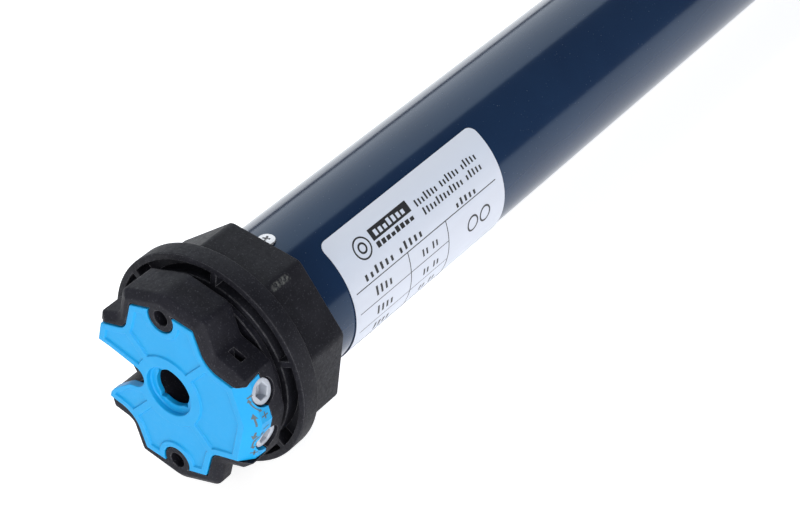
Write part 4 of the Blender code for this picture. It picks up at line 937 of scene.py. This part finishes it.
def build_panels():
    """What is sunk into the plate: everything but its rim, ring and bars."""
    corners = plate_corners()
    sunk = tapered(lambda grow: rounded(corners, RIM_WIDTH - grow), -0.0006, PANEL_DEPTH)
    panels = add_object("panels", sunk)
    below = (-OVERCUT, PANEL_DEPTH + 0.0004)
    cut(panels, tapered(lambda grow: circle(RING_RADIUS - grow, 96, phase=0.01), *below))
    for centre in SCREW_CENTRES:
        reach = BOSS_RADIUS + GAP + 0.0016
        cut(panels, tapered(lambda grow: circle(reach - grow, 64, centre, 0.02), *below))
    rim = RIM_WIDTH - 0.0002
    cut(panels, tapered(lambda grow: notch_outline(NOTCH_INNER, rim - grow), *below))
    for side, up in ((1.0, 1.0), (-1.0, 1.0), (-1.0, -1.0), (1.0, -1.0)):
        valley = PLATE_VALLEY if side == up else PLATE_WIDE_VALLEY
        angle = math.atan2(up * valley[1], side * valley[0])
        bar = tapered(
            lambda grow: box(0.0060, OUTSIDE, -BAR_HALF_WIDTH + grow, BAR_HALF_WIDTH - grow), *below
        )
        cut(panels, bar, turn=(0.0, -angle, 0.0))
    return take_mesh(panels)


def cut_plate(plate, outline_at):
    """Cuts right through the plate and breaks the edge at its face."""
    cut(plate, flared(outline_at, -0.0005, 0.0, THROUGH, 0.00015))


def build_face_plate():
    corners = plate_corners()
    edge = [(0.0010, 0.0), (0.0, 0.0), (0.0, PLATE_THICKNESS), (0.0010, PLATE_THICKNESS)]
    shape = softened("plate", edge, 0.00022, lambda inset: rounded(corners, inset))
    plate = add_object("face_cover", shape)
    for centre in SCREW_CENTRES:
        cut_plate(plate, lambda grow: circle(BOSS_RADIUS + GAP + grow, 64, centre, 0.02))
    join(plate, loft("side", side_shell_sections(0.0, 0.0, 0.0, 0.0, SHELL_REAR)[1:]))
    cut_plate(plate, lambda grow: notch_outline(NOTCH_INNER, grow))
    join(plate, rod("sleeve", [(SLEEVE_RADIUS, 0.00005), (SLEEVE_RADIUS, SLEEVE_REAR)], 96, 0.017))
    hole = [
        (CENTRE_HOLE_RADIUS + 0.0008, -0.0005), (CENTRE_HOLE_RADIUS + 0.0003, 0.0),
        (CENTRE_HOLE_RADIUS + 0.0001, 0.00012), (CENTRE_HOLE_RADIUS, 0.0004),
        (CENTRE_HOLE_RADIUS, LIP_FRONT - 0.0003), (CENTRE_HOLE_RADIUS - 0.0003, LIP_FRONT),
    ]
    cut(plate, rod("hole", hole, 96, 0.017))
    opening = (
        (0.0007, LIP_FRONT - 0.0005), (0.0002, LIP_FRONT), (0.0, LIP_FRONT + 0.0002), (0.0, THROUGH),
    )
    cut(plate, loft("opening", [at_y(opening_outline(grow), y) for grow, y in opening]))
    cut(plate, build_panels())
    for sign in (1.0, -1.0):
        reach = ADJUSTER_HEAD_RADIUS + 0.0005
        opening = radial_mesh("opening", [(reach, SHELL_ROOT + OVERCUT), (reach, OUTSIDE)], 56)
        cut(plate, opening, *adjuster_place(sign))
    settle(plate, BLUE, "housing", ["face_plate"])


def build_adjuster(name, sign, body):
    r = ADJUSTER_HEAD_RADIUS
    neck = ADJUSTER_FACE - ADJUSTER_HEAD_LENGTH
    profile = [
        (0.0010, ADJUSTER_STEM_END), (ADJUSTER_STEM_RADIUS, ADJUSTER_STEM_END),
        (ADJUSTER_STEM_RADIUS, neck), (r, neck), (r, ADJUSTER_FACE), (r - 0.0010, ADJUSTER_FACE),
    ]
    screw = add_object(name + "_screw", radial_mesh(name, soften(profile, 0.00028), 56))
    across = ADJUSTER_SOCKET / math.sqrt(3.0)
    socket = [
        (across, ADJUSTER_FACE - ADJUSTER_SOCKET_DEPTH),
        (across, ADJUSTER_FACE - 0.00025),
        (across + 0.0008, ADJUSTER_FACE + 0.00055),
    ]
    cut(screw, radial_mesh("socket", socket, 6))
    screw.location, screw.rotation_euler = adjuster_place(sign)
    settle(screw, WHITE, body, [name])


# ---------------------------------------------------------------- crown


def octagon(inset, turn_deg):
    flats = OCTAGON_FLATS - 2.0 * inset
    return rounded_polygon(8, flats, OCTAGON_CORNER - inset, turn_deg, 10)


def build_crown():
    tail = [(0.0, FLANGE_REAR - 0.0020), (0.0, CROWN_REAR), (0.0014, CROWN_REAR)]
    shape = softened("octagon", tail, 0.0005, lambda inset: octagon(inset, OCTAGON_TURN_DEG))
    crown = add_object("crown_ring", shape)
    flange = [
        (FLANGE_RADIUS - 0.0015, CROWN_FRONT), (FLANGE_RADIUS, CROWN_FRONT),
        (FLANGE_RADIUS, FLANGE_REAR), (FLANGE_RADIUS - 0.0015, FLANGE_REAR),
    ]
    join(crown, rod("flange", soften(flange, 0.0006, 4), 160, 0.009))
    bore = [
        (CROWN_BORE + 0.0005, CROWN_FRONT - 0.0003),
        (CROWN_BORE, CROWN_FRONT + 0.0002),
        (CROWN_BORE, CROWN_REAR + OVERCUT),
    ]
    cut(crown, rod("bore", bore, 128, 0.013))
    hollow = gear_outline(
        CROWN_TEETH, CROWN_PITCH_RADIUS, CROWN_TOOTH_OUT, CROWN_TOOTH_IN, 0.42, 0.80, -math.pi / 2.0
    )
    cut(crown, prism("teeth", hollow, CROWN_GEAR_FRONT, CROWN_REAR + OVERCUT))
    for k in range(GROOVE_RIBS):
        groove = flared(
            lambda grow: groove_outline(k, grow),
            CROWN_FRONT - 0.0003, CROWN_FRONT, CROWN_FRONT + GROOVE_DEPTH, 0.00018,
        )
        cut(crown, groove)
    settle(crown, CROWN_NYLON, "crown", ["crown"])


def groove_outline(k, grow, steps=18):
    outline = []
    for radius, order in ((GROOVE_INNER - grow, 1), (GROOVE_OUTER + grow, -1)):
        share = math.asin((GROOVE_RIB_WIDTH / 2.0 - grow) / radius)
        turn = math.radians(GROOVE_TURN_DEG)
        start = turn + TAU * k / GROOVE_RIBS + share
        stop = turn + TAU * (k + 1) / GROOVE_RIBS - share
        outline += arc(radius, start, stop, steps)[::order]
    return outline


# ---------------------------------------------------------------- tube


def build_tube():
    inner = TUBE_RADIUS - TUBE_WALL
    profile = [
        (inner, TUBE_START + 0.0002), (inner + 0.0002, TUBE_START),
        (TUBE_RADIUS - 0.0003, TUBE_START), (TUBE_RADIUS, TUBE_START + 0.0003),
        (TUBE_RADIUS, TUBE_END - 0.0003), (TUBE_RADIUS - 0.0003, TUBE_END),
        (inner + 0.0002, TUBE_END), (inner, TUBE_END - 0.0002),
    ]
    tube = add_object("tube_shell", turned("tube", profile, 160, 0.006))
    for y in (HEAD_SCREW_Y, GEARBOX_SCREW_Y):
        for sign in (1.0, -1.0):
            cut_screw_hole(tube, SCREW_CLEARANCE, y, sign, 0.0150)
    settle(tube, NAVY, "housing", ["motor_tube"])


def sheet(bm, near, far):
    """A thin closed patch between two equal grids of points."""
    low = [[bm.verts.new(point) for point in line] for line in near]
    high = [[bm.verts.new(point) for point in line] for line in far]
    rows = len(low) - 1
    columns = len(low[0]) - 1
    for grid in (low, high):
        for i in range(rows):
            for j in range(columns):
                bm.faces.new((grid[i][j], grid[i + 1][j], grid[i + 1][j + 1], grid[i][j + 1]))
    for i in range(rows):
        for j in (0, columns):
            bm.faces.new((low[i][j], low[i + 1][j], high[i + 1][j], high[i][j]))
    for j in range(columns):
        for i in (0, rows):
            bm.faces.new((low[i][j], low[i][j + 1], high[i][j + 1], high[i][j]))


def on_tube(radius, y, angle_deg):
    x, z = polar(radius, math.radians(angle_deg))
    return (x, y, z)


def tube_sheet(bm, radii, lines):
    """A sheet round the tube; lines hold (y, angle in degrees) pairs."""
    near, far = ([[on_tube(radius, *spot) for spot in line] for line in lines] for radius in radii)
    sheet(bm, near, far)


def build_label():
    height = math.radians(LABEL_TO_DEG - LABEL_FROM_DEG) * LABEL_OUTER
    width = LABEL_END - LABEL_START
    steps = 8
    stations = []
    for k in range(steps + 1):
        angle = math.pi / 2.0 * k / steps
        run = LABEL_CORNER * (1.0 - math.cos(angle))
        stations.append((run, LABEL_CORNER * (1.0 - math.sin(angle))))
    stations += [(width - run, back) for run, back in reversed(stations)]
    rows = 72
    lines = []
    for along, back in stations:
        line = []
        for row in range(rows + 1):
            share = back + (height - 2.0 * back) * row / rows
            angle = LABEL_FROM_DEG + math.degrees(share / LABEL_OUTER)
            line.append((LABEL_START + along, angle))
        lines.append(line)
    bm = bmesh.new()
    tube_sheet(bm, (LABEL_INNER, LABEL_OUTER), lines)
    label = add_object("label_sheet", mesh_from("label", bm))
    settle(label, FILM, "housing", ["rating_label"])


def ink_bar(bm, y0, y1, from_deg, to_deg, level=0):
    """A printed bar between two depths and two angles round the tube."""
    steps = max(1, int(abs(to_deg - from_deg) / 2.0))
    low = LABEL_OUTER + level * INK_THICKNESS
    sweep = to_deg - from_deg
    lines = [[(y, from_deg + sweep * k / steps) for k in range(steps + 1)] for y in (y0, y1)]
    tube_sheet(bm, (low - INK_THICKNESS / 2.0, low + INK_THICKNESS), lines)


def ink_ring(bm, y, deg, inner, outer, steps=40):
    """A printed ring, open by a hair so that its two ends stay apart."""
    lines = []
    for step in range(steps + 1):
        angle = math.radians(0.3 + 359.4 * step / steps)
        line = []
        for reach in (inner, outer):
            along, across = polar(reach, angle)
            line.append((y + along, deg + math.degrees(across / LABEL_OUTER)))
        lines.append(line)
    tube_sheet(bm, (LABEL_OUTER - INK_THICKNESS / 2.0, LABEL_OUTER + INK_THICKNESS), lines)


def ink_words(bm, y0, y1, top_deg, bottom_deg, stroke, words, level=0):
    """A row of plain blocks in groups, standing in for a line of print."""
    total = sum(words) + 0.8 * (len(words) - 1)
    pitch = (y1 - y0) / total
    y = y0
    for word in words:
        for k in range(word):
            trim = ((k * 5 + word * 3) % 4) * 0.12 * (top_deg - bottom_deg)
            ink_bar(bm, y, y + stroke * pitch, bottom_deg, top_deg - trim, level)
            y += pitch
        y += 0.8 * pitch


def build_print():
    bm = bmesh.new()
    ink_ring(bm, 0.0634, 41.5, 0.0029, 0.0034)
    ink_ring(bm, 0.0634, 41.5, 0.0011, 0.0017)
    ink_bar(bm, 0.0682, 0.0858, 40.2, 49.2)
    ink_words(bm, 0.0684, 0.0858, 38.6, 34.2, 0.72, (8,))
    ink_words(bm, 0.0884, 0.1186, 45.6, 39.6, 0.42, (7, 6, 5))
    ink_words(bm, 0.0896, 0.1186, 37.0, 31.2, 0.42, (12, 5))
    ink_words(bm, 0.0592, 0.0866, 26.6, 20.4, 0.40, (6, 5))
    ink_words(bm, 0.1022, 0.1128, 24.8, 19.6, 0.42, (5,))
    for deg, half in ((TABLE_TOP_DEG, 0.35), (TABLE_BOTTOM_DEG, 0.3)):
        ink_bar(bm, TABLE_START, TABLE_END, deg - half, deg + half)
    for deg, half in ((1.3, 0.245), (-15.2, 0.21), (-31.6, 0.21)):
        ink_bar(bm, TABLE_START, TABLE_COLUMNS[1], deg - half, deg + half)
    for y in TABLE_COLUMNS:
        ink_bar(bm, y - 0.0002, y + 0.0001, TABLE_BOTTOM_DEG, TABLE_TOP_DEG - 0.2)
    for row in range(TABLE_ROWS):
        top = TABLE_TOP_DEG - 4.8 - TABLE_ROW_DEG * row
        ink_words(bm, 0.0618, 0.0700, top, top - 7.5, 0.40, (4,))
        ink_words(bm, 0.0836, 0.0918, top, top - 7.5, 0.40, (2, 2))
    for y in (0.1080, 0.1142):
        ink_ring(bm, y, -1.0, 0.0021, 0.0027)
    settle(add_object("label_print", mesh_from("print", bm)), INK, "housing")
    bm = bmesh.new()
    ink_words(bm, 0.0698, 0.0842, 47.4, 42.0, 0.62, (7,), 1)
    settle(add_object("label_print_light", mesh_from("print", bm)), FILM, "housing")


def wrap_point(y, z, lift):
    """A point on the outside of the plate's wrap round the right arm."""
    crest = PLATE_CREST_SIDE + min(y, SHELL_BEND) + max(y - SHELL_BEND, 0.0) * SHELL_REAR_SLOPE
    return (crest - abs(z) * ROOF_SLOPE_SIDE + lift, y, z)


def wrap_patch(bm, grid):
    near = [[wrap_point(y, z, -0.00008) for y, z in line] for line in grid]
    far = [[wrap_point(y, z, 0.00005) for y, z in line] for line in grid]
    sheet(bm, near, far)


def wrap_bar(bm, start, stop, width, steps=6):
    """A straight stroke whose width may change from start to stop."""
    first, last = Vector(start), Vector(stop)
    side = (last - first).normalized().orthogonal()
    wide_first, wide_last = width if isinstance(width, tuple) else (width, width)
    grid = []
    for step in range(steps + 1):
        t = step / steps
        middle = first.lerp(last, t)
        half = side * (wide_first + (wide_last - wide_first) * t) / 2.0
        grid.append([tuple(middle - half), tuple(middle + half)])
    wrap_patch(bm, grid)


def wrap_arrow(bm, start, stop, width, head):
    """A stroke that ends in a solid head."""
    first, last = Vector(start), Vector(stop)
    along = (last - first).normalized()
    neck = last - along * head
    wrap_bar(bm, first, neck, width)
    wrap_bar(bm, neck, last, (head * 0.9, 0.00004), 3)


def wrap_arc(bm, sign, radius, start_deg, stop_deg):
    """A two-headed arc about an adjuster; angles run from the deep side."""
    head = 0.0012
    turn_in = math.degrees(head * 0.8 / radius)
    grid = []
    steps = 14
    for step in range(steps + 1):
        share = step / steps
        angle = start_deg + turn_in + (stop_deg - start_deg - 2.0 * turn_in) * share
        grid.append([arc_point(sign, radius + side, angle) for side in (-0.00016, 0.00016)])
    wrap_patch(bm, grid)
    for tip_deg, step_in in ((start_deg, turn_in), (stop_deg, -turn_in)):
        root = arc_point(sign, radius, tip_deg + step_in)
        wrap_bar(bm, root, arc_point(sign, radius, tip_deg), (0.0010, 0.00004), 3)


def arc_point(sign, radius, angle_deg):
    middle_z = sign * ADJUSTER_FACE * math.sin(ADJUSTER_ANGLE)
    return polar(radius, math.radians(angle_deg), (ADJUSTER_Y, middle_z))


def build_wrap_marks():
    """Turning arrows with a minus and a plus beside each adjuster."""
    bm = bmesh.new()
    stroke = 0.00034
    wrap_arc(bm, 1.0, MARK_RADIUS, 178.0, 240.0)
    wrap_bar(bm, (0.0021, 0.0079), (0.0033, 0.0089), stroke)
    wrap_bar(bm, (0.0040, 0.0018), (0.0061, 0.0020), stroke)
    wrap_bar(bm, (0.0051, 0.0010), (0.0051, 0.0029), stroke)
    wrap_arrow(bm, (0.0024, -0.0006), (0.0023, 0.0034), 0.00040, 0.0015)
    wrap_arc(bm, -1.0, MARK_RADIUS, 120.0, 200.0)
    wrap_bar(bm, (0.0042, -0.0024), (0.0060, -0.0018), stroke)
    wrap_bar(bm, (0.0021, -0.0107), (0.0037, -0.0106), stroke)
    wrap_bar(bm, (0.0029, -0.0098), (0.0029, -0.0115), stroke)
    wrap_arrow(bm, (0.0025, -0.0028), (0.0022, -0.0056), 0.00040, 0.0015)
    settle(add_object("wrap_marks", mesh_from("marks", bm)), MARK_INK, "housing")


# ---------------------------------------------------------------- screws and far end


def cut_cross(screw, bottom, top, turn):
    """A cross recess; bottom and top are half length, half width and depth."""
    ends = [at_y(box(-long, long, -wide, wide), y) for long, wide, y in (bottom, top)]
    for quarter in (0.0, math.pi / 2.0):
        cut(screw, loft("slot", ends), turn=(0.0, turn + quarter, 0.0))


def build_pan_screw(name, y, sign, length):
    base = TUBE_RADIUS + PAN_HEAD_LIFT
    top = base + PAN_HEAD_HEIGHT
    r = PAN_HEAD_RADIUS
    steps = [
        (PAN_SHANK - 0.0004, base - length), (PAN_SHANK, base - length + 0.0004), (PAN_SHANK, base),
        (r - 0.0001, base), (r, base + 0.0001), (r, base + 0.0004), (r - 0.00015, base + 0.00065),
        (r - 0.0005, top - 0.0002), (r - 0.0011, top - 0.00004), (r - 0.0018, top),
    ]
    screw = add_object(name + "_pan", rod(name, steps, 48))
    cut_cross(screw, (0.0007, 0.0002, base + 0.0003), (0.0015, 0.0004, top + 0.0004), 0.35)
    screw.location = (0.0, y, 0.0)
    screw.rotation_euler = (sign * math.pi / 2.0, 0.0, 0.0)
    settle(screw, STEEL, "housing", [name])


def build_output_cover():
    front = TUBE_END + GAP
    profile = [
        (OUTPUT_INNER, RING_REAR + GAP), (OUTPUT_INNER, front), (TUBE_RADIUS - 0.0001, front),
        (TUBE_RADIUS, front + 0.0001), (TUBE_RADIUS, OUTPUT_COVER_REAR - 0.0008),
        (TUBE_RADIUS - 0.0002, OUTPUT_COVER_REAR - 0.0003),
        (TUBE_RADIUS - 0.0008, OUTPUT_COVER_REAR), (0.0165, OUTPUT_COVER_REAR),
        (0.0160, OUTPUT_COVER_REAR - 0.0006), (0.0135, OUTPUT_COVER_REAR - 0.0006),
        (0.0130, OUTPUT_COVER_REAR), (OUTPUT_BORE + 0.0003, OUTPUT_COVER_REAR),
        (OUTPUT_BORE, OUTPUT_COVER_REAR - 0.0003), (OUTPUT_BORE, RING_REAR + GAP),
    ]
    cover = add_object("output_cap", turned("cover", profile, 128, 0.006))
    settle(cover, ALLOY, "housing", ["output_cover"])


def build_drive_wheel():
    edge = [(0.0012, WHEEL_FRONT), (0.0, WHEEL_FRONT), (0.0, WHEEL_REAR), (0.0012, WHEEL_REAR)]
    shape = softened("wheel", edge, 0.0004, lambda inset: octagon(inset, WHEEL_TURN_DEG))
    wheel = add_object("drive_star", shape)
    half_angle = math.pi / 8.0
    for k in range(8):
        turn = math.pi / 8.0 + math.pi / 4.0 * k
        pocket = flared(
            lambda grow: pocket_outline(half_angle, grow),
            WHEEL_FRONT - 0.0004, WHEEL_FRONT, WHEEL_REAR - WHEEL_FLOOR, 0.0002,
        )
        cut(wheel, pocket, turn=(0.0, turn, 0.0))
        dish = pocket_outline(half_angle, -0.0008)
        recess = prism("recess", dish, WHEEL_REAR - WHEEL_RECESS, WHEEL_REAR + OVERCUT)
        cut(wheel, recess, turn=(0.0, turn, 0.0))
    hexagon = rounded_polygon(6, HEX_FLATS + 2.0 * GAP, 0.0008, 90.0, 4)
    cut(wheel, prism("hexagon", hexagon, WHEEL_FRONT - OVERCUT, WHEEL_REAR + OVERCUT))
    settle(wheel, NYLON, "output", ["drive_wheel"])


def pocket_outline(half_angle, grow, steps=8):
    half = WHEEL_RIB_WIDTH / 2.0 - grow
    inner = WHEEL_HUB_RADIUS - grow
    outer = OCTAGON_FLATS / 2.0 - WHEEL_RIM + grow
    reach = outer * math.tan(half_angle) - half / math.cos(half_angle)
    sweep = half_angle - math.asin(half / inner)
    return [(outer, -reach), (outer, reach)] + arc(inner, sweep, -sweep, steps)


def build_wheel_fixings():
    front, rear, soft = OUTPUT_END + GAP, WASHER_REAR, 0.0002
    profile = [
        (WASHER_BORE, front), (WASHER_RADIUS - soft, front), (WASHER_RADIUS, front + soft),
        (WASHER_RADIUS, rear - soft), (WASHER_RADIUS - soft, rear), (WASHER_BORE + soft, rear),
        (WASHER_BORE, rear - soft),
    ]
    washer = add_object("fixing_washer", turned("washer", profile, 96, 0.004))
    settle(washer, STEEL, "output", ["wheel_washer"])
    head, end = WASHER_REAR + GAP, OUTPUT_END + WHEEL_SCREW_END
    shank, r = WHEEL_SCREW_SHANK, WHEEL_SCREW_HEAD
    steps = [
        (shank - 0.0004, OUTPUT_END - 0.0120), (shank, OUTPUT_END - 0.0115), (shank, head),
        (r - 0.0001, head), (r, head + 0.0001), (r, head + 0.0012), (r - 0.0003, head + 0.0019),
        (r - 0.0010, end - 0.0003), (shank, end),
    ]
    screw = add_object("fixing_screw", rod("screw", steps, 64, 0.01))
    cut_cross(screw, (0.0012, 0.0003, end - 0.0016), (0.0024, 0.0006, end + 0.0005), 0.2)
    settle(screw, STEEL, "output", ["wheel_screw"])


# ---------------------------------------------------------------- stage


def add_light(name, position, target, size, power, colour):
    light = bpy.data.lights.new(name, "AREA")
    light.shape = "RECTANGLE"
    light.size = size[0]
    light.size_y = size[1]
    light.energy = power
    light.color = colour
    obj = bpy.data.objects.new(name, light)
    bpy.context.scene.collection.objects.link(obj)
    obj.location = position
    ahead = Vector(target) - Vector(position)
    obj.rotation_euler = ahead.to_track_quat("-Z", "Y").to_euler()


def build_stage():
    bm = bmesh.new()
    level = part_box("crown")[0].z - 0.0002
    half = 6.0
    corners = [bm.verts.new((x, y, level)) for x, y in box(-half, half, -half, half)]
    bm.faces.new(corners)
    floor = add_object("floor", mesh_from("floor", bm))
    f = Finish("pale_floor", roughness=0.6)
    f.set(Base_Color=f.mix(f.noise(0.4), (0.80, 0.80, 0.81), (0.82, 0.82, 0.825)))
    f.set(Emission_Color=(1.0, 1.0, 1.0), Emission_Strength=0.72)
    floor.data.materials.append(f.material)

    world = bpy.data.worlds.new("studio")
    bpy.context.scene.world = world
    world.use_nodes = True
    nodes, links = world.node_tree.nodes, world.node_tree.links
    ambient = nodes["Background"]
    ambient.inputs["Color"].default_value = (0.93, 0.96, 1.0, 1.0)
    ambient.inputs["Strength"].default_value = 0.16
    backdrop = nodes.new("ShaderNodeBackground")
    backdrop.inputs["Color"].default_value = (1.0, 1.0, 1.0, 1.0)
    chooser = nodes.new("ShaderNodeMixShader")
    rays = nodes.new("ShaderNodeLightPath")
    links.new(rays.outputs["Is Camera Ray"], chooser.inputs[0])
    links.new(ambient.outputs[0], chooser.inputs[1])
    links.new(backdrop.outputs[0], chooser.inputs[2])
    links.new(chooser.outputs[0], nodes["World Output"].inputs["Surface"])

    head = (0.0, FACE_Y + 0.03, 0.0)
    add_light("front", (0.55, -1.9, 0.55), head, (1.5, 1.2), 24.0, (1.0, 0.99, 0.97))
    add_light("side", (1.9, -0.9, 0.35), head, (0.9, 0.9), 23.0, (1.0, 1.0, 1.0))
    add_light("top", (-0.83, 1.5, 0.72), (-0.03, 1.5, -0.42), (4.4, 1.7), 34.0, (0.90, 0.95, 1.0))

    camera_data = bpy.data.cameras.new("camera")
    camera_data.lens = 98.411
    camera_data.sensor_width = 36.0
    camera_data.clip_start = 0.01
    camera = bpy.data.objects.new("camera", camera_data)
    bpy.context.scene.collection.objects.link(camera)
    ahead = Vector((-0.49115427, 0.64489486, -0.58555794))
    right = Vector((0.80890175, 0.58707654, -0.03192324))
    up = Vector((-0.3231802, 0.48933808, 0.81000173))
    turn = Matrix((right, up, -ahead)).transposed().to_4x4()
    camera.matrix_world = Matrix.Translation((0.319438, -0.555599, 0.363134)) @ turn
    bpy.context.scene.camera = camera
    bpy.context.scene.view_settings.view_transform = "Standard"


def main():
    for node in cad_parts.values():
        for slot in node.material_slots:
            kind = slot.material.name.split(".")[0]
            slot.material = FINISHES[kind]
    build_tube()
    build_label()
    build_print()
    build_head()
    build_face_plate()
    build_wrap_marks()
    build_adjuster("limit_adjuster_up", 1.0, "adjuster_up")
    build_adjuster("limit_adjuster_down", -1.0, "adjuster_down")
    build_crown()
    build_pan_screw("head_screw_top", HEAD_SCREW_Y, 1.0, 0.0030)
    build_pan_screw("head_screw_bottom", HEAD_SCREW_Y, -1.0, 0.0030)
    build_pan_screw("gearbox_screw_top", GEARBOX_SCREW_Y, 1.0, 0.0040)
    build_pan_screw("gearbox_screw_bottom", GEARBOX_SCREW_Y, -1.0, 0.0040)
    build_output_cover()
    build_drive_wheel()
    build_wheel_fixings()
    build_stage()


main()
